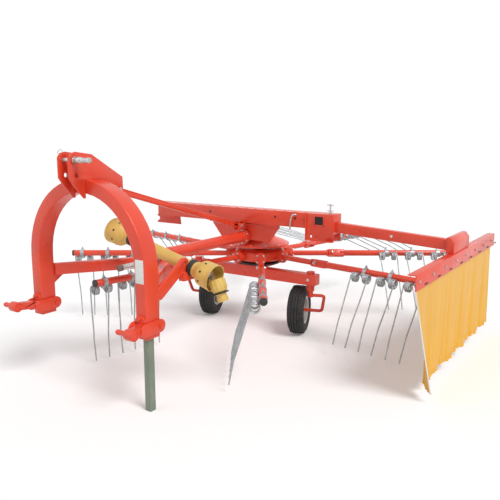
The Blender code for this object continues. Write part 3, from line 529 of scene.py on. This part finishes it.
def tineClamp():
    # band round the tube, jaw over the wire's bridge, and the bolt that stands on top
    band = turned([(0.0262, -0.014), (0.0262, 0.014), (0.0232, 0.014), (0.0232, -0.014), (0.0262, -0.014)], 28)
    moved(band, Matrix.Rotation(math.radians(90), 4, "Y"))
    tilt = Matrix.Rotation(math.radians(tineSpec["saddle"]), 4, "X")
    jaw = moved(slab((-0.0145, -0.0155, -0.0470), (0.0145, 0.0155, -0.0235), 0.003), tilt)
    cheek = moved(slab((-0.0240, -0.0060, -0.0400), (0.0240, 0.0060, -0.0300), 0.002), tilt)
    lug = slab((-0.011, -0.013, 0.022), (0.011, 0.013, 0.029), 0.0015)
    stem = copyAt(nutMaster, Matrix.Translation((0, 0, 0.029)) @ Matrix.Scale(0.95, 4))
    under = copyAt(boltMaster, tilt @ aim((0, 0, -0.047), (0, 0, -1)) @ Matrix.Scale(0.95, 4))
    return joined([band, jaw, cheek, lug, stem, under])


def clipPin():
    # clevis pin across the fork with a spring clip
    pin = roundBar((0, -0.034, 0), (0, 0.036, 0), 0.0075, 18, 0.0008)
    head = roundBar((0, 0.0215, 0), (0, 0.0270, 0), 0.0125, 20, 0.0008)
    loop = [Vector((0, -0.029, -0.012)), Vector((0, -0.029, 0.010)), Vector((0.004, -0.029, 0.018)),
            Vector((0.014, -0.029, 0.020)), Vector((0.020, -0.029, 0.012)), Vector((0.014, -0.029, 0.004)),
            Vector((0.010, -0.029, -0.004)), Vector((0.013, -0.029, -0.014))]
    return joined([pin, head, wire(smoothPath(loop, 4), 0.0016, 1)])


def armFork():
    # red tube, its fork cheeks and the weld ring between them
    inner, outer = armSpec["inner"], armSpec["outer"]
    tube = roundBar((inner, 0, 0), (outer, 0, 0), armSpec["radius"], 28, 0.0015)
    cheeks = [slab((armSpec["fork"], low, -0.028), (inner + 0.034, low + 0.011, 0.028), 0.0035)
              for low in (0.0093, -0.0203)]
    weld = ring((inner + 0.036, 0, 0), (1, 0, 0), 0.0222, 0.0035, 24, 6)
    return joined([tube, *cheeks, weld])


tineMaster, clampMaster, forkMaster, pinMaster = doubleTine(), tineClamp(), armFork(), clipPin()
capMaster = turned([(0, 0.0046), (0.0175, 0.0046), (0.0225, 0.0030), (0.0236, 0.0), (0.0236, -0.012),
                    (0.0228, -0.012), (0, -0.010)], 24)
flangeMaster = joined([copyAt(boltMaster, aim((0.2625, 0.0335 * math.cos(t), 0.0335 * math.sin(t)), (1, 0, 0))
                              @ Matrix.Scale(0.72, 4)) for t in (math.pi / 4 + math.pi / 2 * i for i in range(4))])
for k, roll in enumerate(armSpec["rolls"]):
    armPlace = (Matrix.Translation((0, 0, armSpec["height"]))
                @ Matrix.Rotation(math.radians(armSpec["phase"] + 360 / armSpec["count"] * k), 4, "Z")
                @ Matrix.Rotation(math.radians(roll), 4, "X"))
    number = k + 1
    red = placed(copyAt(forkMaster, armPlace), f"arm_tube_{number}", "rotor", redPaint)
    springs = joined([copyAt(tineMaster, armPlace @ Matrix.Translation((r, 0, 0))) for r in armSpec["tines"]])
    springs = placed(springs, f"double_tines_{number}", "rotor", galvanised, 60)
    clamps = joined([copyAt(clampMaster, armPlace @ Matrix.Translation((r, 0, 0))) for r in armSpec["tines"]])
    clamps = placed(clamps, f"tine_clamps_{number}", "rotor", galvanised)
    cap = placed(copyAt(capMaster, armPlace @ aim((armSpec["outer"], 0, 0), (1, 0, 0))), f"arm_cap_{number}",
                 "rotor", blackPlastic)
    pins = joined([copyAt(pinMaster, armPlace @ Matrix.Translation((armSpec["pin"], 0, 0))),
                   copyAt(flangeMaster, armPlace)])
    pins = placed(pins, f"arm_pins_{number}", "rotor", brightSteel)
    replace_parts(red, f"tine_arm_{number}")
    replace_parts(springs, f"tine_arm_{number}")
    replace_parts(clamps, f"tine_arm_{number}")
for master in (tineMaster, clampMaster, forkMaster, pinMaster, capMaster, flangeMaster):
    drop(master)
print("rotor arms and tines made")


# rotor head: bolts round the wide cover and round the crown: count, phase, radius, height, outward lean
coverSpec = ((12, 0.5, 0.219, 0.6482, 0.0), (6, 0.25, 0.106, 0.797, 0.3))
coverBolts = []
for count, phase, radius, height, lean in coverSpec:
    for i in range(count):
        t = 2 * math.pi * (i + phase) / count
        out = Vector((math.cos(t), math.sin(t), 0))
        coverBolts.append((out * radius + Vector((0, 0, height)), out * lean + Vector((0, 0, 1)), "bolt"))
boltSet("cover_bolts", "frame", coverBolts, scale=0.9)


# headstock trim
# leg is half the leg spacing, front and back are the arch's faces; foot, pin and spare are (Y, Z)
headSpec = {
    "leg": 0.4275, "front": -1.7928, "back": -1.6873, "face": 0.0504, "foot": (-1.915, 0.482), "splay": 0.0475,
    "pin": (-1.865, 1.350), "spare": (-1.850, 1.268), "ear": 0.048, "saddle": 1.2435, "footBolt": (-1.698, 0.476),
    "tab": 0.512, "tabBolt": 0.532, "strutIn": 0.382, "strutOut": 0.430, "strutLow": 0.644, "strutTop": 0.714,
}
footBolts = []
for side in (1, -1):
    for face in (1, -1):
        footBolts.append(((side * headSpec["leg"] + face * headSpec["face"], *headSpec["footBolt"]),
                          (face, 0, 0), "bolt" if face > 0 else "nut"))
    footBolts.append(((side * headSpec["leg"], headSpec["front"] - 0.0072, headSpec["tabBolt"]), (0, -1, 0), "bolt"))
boltSet("foot_bolts", "frame", footBolts, redPaint, 1.25)
tabs = []
for side in (1, -1):
    x = side * headSpec["leg"]
    tabs.append(roundBar((x, headSpec["front"] + 0.0002, headSpec["tab"]),
                         (x, headSpec["front"] - 0.0075, headSpec["tab"]), 0.037, 40, 0.0015))
    bossX = x + side * headSpec["splay"]
    y, z = headSpec["foot"]
    for face in (1, -1):
        tabs.append(ring((bossX + face * 0.0285, y, z), (1, 0, 0), 0.0245, 0.0035, 36, 8))
    tip = bossX - 0.0963
    tabs.append(roundBar((tip, y, z), (tip - 0.009, y, z), 0.0140, 20, 0.0008, 0.0085))
    tabs.append(ring((tip + 0.014, y, z), (1, 0, 0), 0.0140, 0.0016, 24, 6))
placed(joined(tabs), "foot_trim", "frame", redPaint)
pinY, pinZ = headSpec["pin"]
pinTrim = [roundBar((0.0500, pinY, pinZ), (0.0620, pinY, pinZ), 0.0200, 6, 0.001),
           roundBar((0.0625, pinY, pinZ), (0.1080, pinY, pinZ), 0.0165, 24, 0.0015),
           roundBar((0.1560, pinY, pinZ), (0.1720, pinY, pinZ), 0.0150, 24, 0.0020),
           roundBar((-0.0490, pinY, pinZ), (-0.0530, pinY, pinZ), 0.0200, 24, 0.0010),
           roundBar((-0.0600, pinY, pinZ - 0.024), (-0.0600, pinY, pinZ + 0.026), 0.0042, 12, 0.0008)]
clipLoop = [Vector((-0.0600 + 0.019 * math.sin(t), pinY - 0.004 * math.cos(t), pinZ + 0.034 - 0.019 * math.cos(t)))
            for t in (2 * math.pi * i / 28 for i in range(28))]
pinTrim.append(wire(clipLoop, 0.0022, 2, closed=True))
for i in range(7):
    pinTrim.append(ring((0.1130 + 0.0060 * i, pinY, pinZ), (1, 0, 0), 0.0120, 0.0013, 20, 6))
placed(joined(pinTrim), "top_pin_trim", "frame", brightSteel)
spareY, spareZ = headSpec["spare"]
placed(joined([ring((side * headSpec["ear"], spareY, spareZ), (1, 0, 0), 0.0155, 0.0028, 28, 8)
               for side in (1, -1)]), "spare_hole_rings", "frame", redPaint)
blankPlate = slab((0.3980, headSpec["front"] - 0.0008, 0.7180),
                  (0.4560, headSpec["front"] + 0.0004, 0.8440), 0.0003)
placed(blankPlate, "blank_plate", "frame", plateCoat)


def weldBead(points, thick=0.0042, closed=False):
    # rippled bead: short beads overlap along the line
    path, beads = [Vector(p) for p in points], []
    if closed:
        path.append(path[0])
    for a, b in zip(path, path[1:]):
        steps = max(2, int((b - a).length / 0.010))
        for i in range(steps):
            clearAll()
            bpy.ops.mesh.primitive_uv_sphere_add(segments=8, ring_count=5, radius=thick,
                                                 location=a.lerp(b, i / steps))
            beads.append(bpy.context.object)
    for bead in beads:
        bead.data.transform(Matrix.Translation(bead.location))
        bead.location = (0, 0, 0)
    return joined(beads)


# the main tube: height of its axis, weld radius, Y of its welds and of its rear flange, bolt circle radius
tubeSpec = {"axis": 0.725, "weld": 0.040, "front": -1.0795, "rear": -0.2465, "flange": -0.2458, "bolts": 0.049}


def tubeCircle(radius, y, count, phase=0.0):
    turns = (phase + 2 * math.pi * i / count for i in range(count))
    return [(radius * math.cos(t), y, tubeSpec["axis"] + radius * math.sin(t)) for t in turns]


welds = []
for side in (1, -1):
    back, low, top = headSpec["back"], headSpec["strutLow"], headSpec["strutTop"]
    x0, x1 = sorted((side * headSpec["strutIn"], side * headSpec["strutOut"]))
    welds.append(weldBead([(x0, back, low), (x1, back, low), (x1, back, top), (x0, back, top)], 0.004, True))
    for face in (1, -1):
        x = side * 0.042 + face * 0.006
        welds.append(weldBead([(x, -1.793, headSpec["saddle"]), (x, -1.687, headSpec["saddle"])], 0.0042))
for end in ("front", "rear"):
    welds.append(weldBead(tubeCircle(tubeSpec["weld"], tubeSpec[end], 16), 0.004, True))
placed(joined(welds), "weld_beads", "frame", redPaint, 60)
flangeBolts = [(spot, (0, -1, 0), "bolt")
               for spot in tubeCircle(tubeSpec["bolts"], tubeSpec["flange"], 6, math.pi / 6)]
boltSet("flange_bolts", "frame", flangeBolts, scale=0.7)
tipCap = roundBar((0, -1.5312, 0.702), (0, -1.5060, 0.702), 0.0188, 24, 0.001)
grooves = [ring((0, y, 0.702), (0, 1, 0), 0.0176, 0.0010, 24, 6) for y in (-1.350, -1.356, -1.362)]
placed(joined([tipCap] + grooves), "stub_end", "frame", greasySteel)
print("headstock trim made")


# stowed drive shaft
shaftSpec = {"y": -1.410, "far": (-0.010, 0.868), "near": (0.482, 0.738), "clutch": 0.158}
farEnd = Vector((shaftSpec["far"][0], shaftSpec["y"], shaftSpec["far"][1]))
nearEnd = Vector((shaftSpec["near"][0], shaftSpec["y"], shaftSpec["near"][1]))
shaftWay = (nearEnd - farEnd).normalized()
shaftLength = (nearEnd - farEnd).length


def onShaft(distance):
    return farEnd + shaftWay * distance


def guardBell(name, node, at, way):
    # thin moulded bell: ribbed neck, shoulder, straight skirt with a rolled rim
    bell = turned([(0.0145, 0.0), (0.0400, 0.0), (0.0435, 0.0015), (0.0440, 0.010), (0.0465, 0.012),
                   (0.0465, 0.016), (0.0450, 0.018), (0.0480, 0.028), (0.0560, 0.042), (0.0680, 0.056),
                   (0.0725, 0.064), (0.0745, 0.080), (0.0765, 0.120), (0.0775, 0.1440), (0.0790, 0.1460),
                   (0.0790, 0.1500), (0.0740, 0.1500), (0.0735, 0.120), (0.0700, 0.070), (0.0640, 0.062),
                   (0.0470, 0.040), (0.0400, 0.014), (0.0145, 0.012), (0.0145, 0.0)], 56)
    bell = moved(bell, aim(onShaft(at), shaftWay * way))
    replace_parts(placed(bell, name, "frame", yellowPlastic, 40), node)


guardBell("guard_bell_far", "pto_bell_far", -0.0003, -1)
guardBell("guard_bell_near", "pto_bell_near", shaftLength + 0.0003, 1)
collars = []
for start, end, radius in ((-0.004, 0.030, 0.0420), (0.010, 0.018, 0.0450),
                           (shaftLength - 0.026, shaftLength + 0.006, 0.0475),
                           (shaftLength - 0.014, shaftLength - 0.006, 0.0500)):
    collars.append(roundBar(onShaft(start), onShaft(end), radius, 40, 0.0015))
placed(joined(collars), "guard_collars", "frame", blackPlastic)
# near-black discs just proud of the bell skirts: painted shade standing in for the guard's holes
dots = []
side = shaftWay.orthogonal().normalized()
for base, way in ((0, -1), (shaftLength, 1)):
    for angle in (200, 245, 290, 20, 65, 110, 155, 335):
        out = Matrix.Rotation(math.radians(angle), 3, shaftWay) @ side
        spot = onShaft(base + way * 0.088)
        dots.append(roundBar(spot + out * 0.0735, spot + out * 0.0758, 0.0065, 16, 0))
placed(joined(dots), "guard_hole_shade", "frame", paintedGapShade)
clutchFoot = onShaft(shaftLength + shaftSpec["clutch"])
clutchWay = Vector((0.38, 0, -0.925)).normalized()
clutch = turned([(0.0, 0.0), (0.036, 0.0), (0.043, 0.004), (0.0437, 0.012), (0.0437, 0.052), (0.0415, 0.060),
                 (0.0400, 0.070), (0.0345, 0.0755), (0.0325, 0.078), (0.0325, 0.086), (0.0290, 0.090),
                 (0.0285, 0.098), (0.0300, 0.102), (0.0300, 0.126), (0.0285, 0.1300), (0.0205, 0.1300),
                 (0.0190, 0.1280), (0.0190, 0.104), (0.0, 0.104)], 48)
ribs = []
rib = slab((0.0405, -0.0040, 0.006), (0.0466, 0.0040, 0.060), 0.0015)
smallRib = slab((0.0280, -0.0030, 0.1030), (0.0318, 0.0030, 0.1240), 0.0008)
for i in range(12):
    turn = Matrix.Rotation(2 * math.pi * i / 12, 4, "Z")
    ribs.append(copyAt(rib, turn))
    ribs.append(copyAt(smallRib, turn))
drop(rib)
drop(smallRib)
clutch = moved(joined([clutch] + ribs), aim(clutchFoot, clutchWay))
placed(clutch, "clutch_cover", "frame", yellowPlastic)
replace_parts(clutch, "pto_clutch")
# near-black ring at the neck under the clutch body and a near-black disc down the bore: painted shade of the neck
# and the bore
clutchRing = moved(turned([(0.0330, 0.0765), (0.0455, 0.0780), (0.0470, 0.0800), (0.0470, 0.0835),
                           (0.0455, 0.0850), (0.0330, 0.0855), (0.0330, 0.0765)], 48),
                   aim(clutchFoot, clutchWay))
bore = moved(turned([(0.0, 0.1050), (0.0186, 0.1050), (0.0186, 0.1302), (0.0165, 0.1302), (0.0160, 0.1080),
                     (0.0, 0.1080)], 32), aim(clutchFoot, clutchWay))
placed(joined([clutchRing, bore]), "clutch_neck_shade", "frame", paintedGapShade)
print("drive shaft made")


# guide and channel trim
guideSpec = {"low": 0.5603, "high": 0.7753, "front": -0.2600, "base": 0.752, "top": 0.945,
             "window": (0.070, 0.135, 0.868, 0.925), "lip": 0.008}
channelSpec = {"from": -0.800, "to": 0.500, "pitch": 0.085, "slot": 0.050, "rows": (-0.2440, -0.1700),
               "width": 0.0140, "top": 0.9445, "thick": 0.0009, "front": -0.2548, "hole": 0.0085,
               "holeHeight": 0.900, "holes": (-0.55, -0.30, 0.30, 0.47)}
slots = []
x = channelSpec["from"]
while x < channelSpec["to"]:
    for y in channelSpec["rows"]:
        slots.append(slab((x, y, channelSpec["top"]), (x + channelSpec["slot"], y + channelSpec["width"],
                                                       channelSpec["top"] + channelSpec["thick"]), 0))
    x += channelSpec["pitch"]
placed(joined(slots), "channel_slots", "frame", plateCoat)
# near-black discs on the channel front and a near-black sheet in the guide's window: painted shade standing in for
# the holes
height, front = channelSpec["holeHeight"], channelSpec["front"]
holes = [roundBar((x, front, height), (x, front - 0.0008, height), channelSpec["hole"], 20, 0)
         for x in channelSpec["holes"]]
low, high, face, lip = (guideSpec[key] for key in ("low", "high", "front", "lip"))
left, right = (low + guideSpec["window"][i] for i in (0, 1))
under, over = guideSpec["window"][2:]
holes.append(slab((left, face - 0.0005, under), (right, face + 0.0005, over), 0))
placed(joined(holes), "painted_hole_shade", "frame", paintedGapShade)
lips = [slab((left - lip, face - 0.004, under - lip), (left, face, over + 0.007), 0.001),
        slab((left - lip, face - 0.004, under - lip), (right + lip, face, under), 0.001),
        slab((right, face - 0.004, under - lip), (right + lip, face, over + 0.007), 0.001),
        slab((low - 0.004, face - 0.008, guideSpec["base"]), (low + 0.004, face, guideSpec["top"]), 0.001),
        slab((high - 0.060, face - 0.018, guideSpec["base"]), (high - 0.004, face, guideSpec["base"] + lip), 0.001)]
placed(joined(lips), "guide_lips", "frame", redPaint)
hook = [Vector(spot) for spot in ((0.485, -0.262, 0.925), (0.478, -0.275, 0.930), (0.462, -0.280, 0.925),
                                  (0.448, -0.279, 0.900), (0.442, -0.278, 0.860), (0.438, -0.277, 0.822))]
placed(wire(smoothPath(hook, 5), 0.006, 3), "locking_pin", "frame", brightSteel, 60)

# rail trim
railSpec = {"count": 8, "first": -0.905, "pitch": 0.232, "face": 1.6062, "boltHeight": 0.712,
            "slot": (0.090, 0.145, 0.6745, 0.6835), "from": -0.9300, "to": 0.7200, "top": 0.7400}
railBolts, railSlots = [], []
near, far, under, over = railSpec["slot"]
for i in range(railSpec["count"]):
    y = railSpec["first"] + i * railSpec["pitch"]
    railBolts.append(((railSpec["face"], y, railSpec["boltHeight"]), (1, 0, 0), "bolt"))
    railSlots.append(slab((railSpec["face"] - 0.0004, y + near, under),
                          (railSpec["face"] + 0.0004, y + far, over), 0))
boltSet("rail_bolts", "curtain_slide", railBolts, scale=0.85)
# near-black strips on the rail face: painted shade standing in for the slots
placed(joined(railSlots), "rail_slot_shade", "curtain_slide", paintedGapShade)
strip = slab((1.5935, railSpec["from"], railSpec["top"]), (1.6002, railSpec["to"], railSpec["top"] + 0.0088), 0.0008)
placed(strip, "curtain_top_edge", "curtain_slide", curtainCloth)
slideHole = roundBar((1.180, -0.2248, 0.829), (1.180, -0.2256, 0.829), 0.009, 20, 0)
placed(slideHole, "slide_hole", "curtain_slide", plateCoat)
print("guide, channel and rail trim made")


# wheels
wheelSpec = {"radius": 0.184, "half": 0.063, "inboard": 0.095, "back": 0.050, "turn": 17.0,
             "stem": (0.530, -0.120), "lugs": 44}


def tyreShape():
    # ribbed tread, rounded shoulders and a raised bead line on both walls
    r, half = wheelSpec["radius"], wheelSpec["half"]
    side = [(0.0935, 0.0352), (0.1070, 0.0512), (0.1150, half - 0.006), (0.1185, half - 0.0035),
            (0.1205, half - 0.0015), (0.1230, half - 0.0015), (0.1250, half - 0.0030), (0.1420, half),
            (0.1540, half - 0.0035), (0.1565, half - 0.0035), (0.1590, half - 0.0065), (0.1680, half - 0.0160),
            (0.1760, 0.0370), (0.1770, 0.0350), (r - 0.0015, 0.0330), (r - 0.0010, 0.0250), (r - 0.0075, 0.0235),
            (r - 0.0075, 0.0195), (r - 0.0004, 0.0180), (r, 0.0060), (r - 0.0070, 0.0045)]
    outline = side + [(x, -z) for x, z in reversed(side)] + [side[0]]
    return turned(outline, 96)


def treadLugs():
    # shoulder blocks between the outer rib and the wall
    r = wheelSpec["radius"]
    lug = slab((r - 0.0150, -0.0055, 0.0330), (r - 0.0035, 0.0055, 0.0470), 0.0012)
    lugs = []
    for i in range(wheelSpec["lugs"]):
        t = 2 * math.pi * i / wheelSpec["lugs"]
        for side in (1, -1):
            turn = Matrix.Rotation(t + (math.pi / wheelSpec["lugs"] if side < 0 else 0), 4, "Z")
            flip = Matrix.Rotation(math.pi, 4, "X") if side < 0 else Matrix.Identity(4)
            lugs.append(copyAt(lug, turn @ flip))
    drop(lug)
    return joined(lugs)


tyreMaster = joined([tyreShape(), treadLugs()])
wheelBolts = []
for i in range(5):
    t = 2 * math.pi * i / 5
    for side in (1, -1):
        wheelBolts.append(((0.050 * math.cos(t), 0.050 * math.sin(t), side * 0.0108), (0, 0, side), "bolt"))
valveSpot = Vector((0.078, 0, 0.012))
for name, side in (("left", 1), ("right", -1)):
    castorPlace = (Matrix.Translation((side * wheelSpec["stem"][0], wheelSpec["stem"][1], 0))
                   @ Matrix.Rotation(math.radians(wheelSpec["turn"]), 4, "Z"))
    wheelPlace = (castorPlace @ Matrix.Translation((-side * wheelSpec["inboard"], wheelSpec["back"],
                                                    wheelSpec["radius"]))
                  @ Matrix.Rotation(math.radians(90), 4, "Y"))
    tyre = placed(copyAt(tyreMaster, wheelPlace), f"tyre_tread_{name}", f"wheel_{name}", tyreRubber)
    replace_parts(tyre, f"tyre_{name}")
    spots = [(wheelPlace @ Vector(spot), wheelPlace.to_3x3() @ Vector(way), kind) for spot, way, kind in wheelBolts]
    boltSet(f"rim_bolts_{name}", f"wheel_{name}", spots, scale=0.8)
    valveEnd = valveSpot + Vector((0.004, 0, 0.026))
    valve = roundBar(wheelPlace @ valveSpot, wheelPlace @ valveEnd, 0.004, 12, 0.0008)
    placed(valve, f"valve_{name}", f"wheel_{name}", blackPlastic)
    top = castorPlace @ Vector((0, 0, 0.4912))
    disc = moved(turned([(0, 0.006), (0.008, 0.006), (0.020, 0.005), (0.031, 0.002), (0.032, 0), (0, 0)], 32),
                 Matrix.Translation(top))
    placed(disc, f"castor_cap_{name}", f"castor_{name}", redPaint)
drop(tyreMaster)
stemX, stemY = wheelSpec["stem"]
boltSet("sleeve_screws", "frame",
        [((side * stemX, stemY - 0.0312, 0.437), (0, -1, 0), "nut") for side in (1, -1)], scale=1.3)
print("wheels made")


# curtain
curtainSpec = {
    "front": -0.930, "rear": 0.720, "top": 0.740, "low": 0.080, "x": 1.5967, "columns": 220, "rows": 84,
    "flareSpan": 0.22, "flareOut": 0.068, "flareBack": 0.140, "flareLift": 0.030,
}


def curtainPoint(back, drop):
    s = curtainSpec
    y = s["front"] + (s["rear"] - s["front"]) * back
    z = s["top"] + (s["low"] - s["top"]) * drop
    flare = max(0.0, 1.0 - back / s["flareSpan"]) ** 2
    hang = max(0.0, drop - 0.14)
    loose = max(0.0, drop - 0.06) / 0.94
    # three waves along the rail: wide folds, narrow folds, small puckers
    fold = (0.0100 * math.sin(2 * math.pi * back * 5.3 + 0.6) + 0.0055 * math.sin(2 * math.pi * back * 11.7 + 1.9)
            + 0.0030 * math.sin(2 * math.pi * back * 23.0 + drop * 2.0)) * loose ** 0.8
    hem = max(0.0, (drop - 0.90) / 0.10)
    fold += hem * (0.0045 * math.sin(2 * math.pi * back * 31 + 0.5) + 0.0025 * math.sin(2 * math.pi * back * 53))
    x = s["x"] + s["flareOut"] * flare * hang + fold
    y += s["flareBack"] * flare * hang + 0.004 * math.sin(drop * 9 + back * 14) * loose
    z += -s["flareLift"] * flare * hang + hem * 0.006 * math.sin(2 * math.pi * back * 9.5)
    z = max(z, s["low"] - 0.030)
    return Vector((x, y, z))


clearAll()
bpy.ops.mesh.primitive_grid_add(x_subdivisions=curtainSpec["columns"], y_subdivisions=curtainSpec["rows"], size=2)
cloth = bpy.context.object
for vertex in cloth.data.vertices:
    vertex.co = curtainPoint((vertex.co.x + 1) / 2, (1 - vertex.co.y) / 2)
useModifier(cloth, "SOLIDIFY", thickness=0.0016, offset=0.0)
cloth = placed(cloth, "curtain_sheet", "curtain_slide", curtainCloth, 80)
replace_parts(cloth, "curtain")
edge = [curtainPoint(0, i / 60) + Vector((0.0, -0.003, 0)) for i in range(2, 61)]
piping = placed(wire(edge, 0.0042, 3), "curtain_piping", "curtain_slide", plateCoat, 60)
hemLine = [curtainPoint(i / 240, 0.992) for i in range(241)]
hemRoll = placed(wire(hemLine, 0.0034, 2), "curtain_hem", "curtain_slide", curtainCloth, 60)
print("curtain hung")

# camera, on the fitted viewing angle
cameraSpec = {"spot": (2.626, -4.017, 1.457), "azimuth": 34.113, "pitch": 10.317, "lens": 43.757}
clearAll()
bpy.ops.object.camera_add(location=axisSpot + Vector(cameraSpec["spot"]))
camera = bpy.context.object
camera.rotation_euler = (math.radians(90 - cameraSpec["pitch"]), 0, math.radians(cameraSpec["azimuth"]))
camera.data.lens = cameraSpec["lens"]
camera.data.sensor_width = 36
camera.data.clip_end = 200
bpy.context.scene.camera = camera
bpy.context.scene.view_settings.view_transform = "Standard"

# floor, world and lamps
clearAll()
bpy.ops.mesh.primitive_plane_add(size=90, location=(0, 0, -0.0005))
floor = bpy.context.object
floor.name = "floor"
floorCoat = bpy.data.materials.new("floorCoat")
floorCoat.use_nodes = True
floorTree = floorCoat.node_tree
floorShader = floorTree.nodes["Principled BSDF"]
floorShader.inputs["Base Color"].default_value = (0.93, 0.93, 0.93, 1)
floorShader.inputs["Roughness"].default_value = 0.9
floorShader.inputs["Specular IOR Level"].default_value = 0.0
floorShader.inputs["Emission Color"].default_value = (1, 1, 1, 1)
rays = floorTree.nodes.new("ShaderNodeLightPath")
glow = floorTree.nodes.new("ShaderNodeMath")
glow.operation = "MULTIPLY"
glow.inputs[1].default_value = 0.10
floorTree.links.new(rays.outputs["Is Camera Ray"], glow.inputs[0])
floorTree.links.new(glow.outputs[0], floorShader.inputs["Emission Strength"])
floor.data.materials.append(floorCoat)

world = bpy.data.worlds.new("studio")
bpy.context.scene.world = world
world.use_nodes = True
worldTree = world.node_tree
sky = worldTree.nodes["Background"]
sky.inputs["Color"].default_value = (1.0, 1.0, 1.0, 1)
seen = worldTree.nodes.new("ShaderNodeLightPath")
both = worldTree.nodes.new("ShaderNodeMath")
both.operation = "MAXIMUM"
worldTree.links.new(seen.outputs["Is Camera Ray"], both.inputs[0])
worldTree.links.new(seen.outputs["Is Glossy Ray"], both.inputs[1])
level = worldTree.nodes.new("ShaderNodeMapRange")
level.inputs["To Min"].default_value = 0.48
level.inputs["To Max"].default_value = 1.0
worldTree.links.new(both.outputs[0], level.inputs["Value"])
worldTree.links.new(level.outputs[0], sky.inputs["Strength"])

# name, direction towards the lamp, strength, softness in degrees
lampSpec = (
    ("key", (0.78, -0.22, 0.95), 1.95, 24),
    ("fill", (-0.55, -0.80, 0.55), 0.30, 50),
)
for name, way, power, softness in lampSpec:
    clearAll()
    bpy.ops.object.light_add(type="SUN", location=Vector(way) * 6)
    lamp = bpy.context.object
    lamp.name = name
    lamp.data.energy = power
    lamp.data.angle = math.radians(softness)
    lamp.rotation_euler = Vector(way).to_track_quat("Z", "Y").to_euler()
print("camera and lamps set")

drop(boltMaster)
drop(nutMaster)
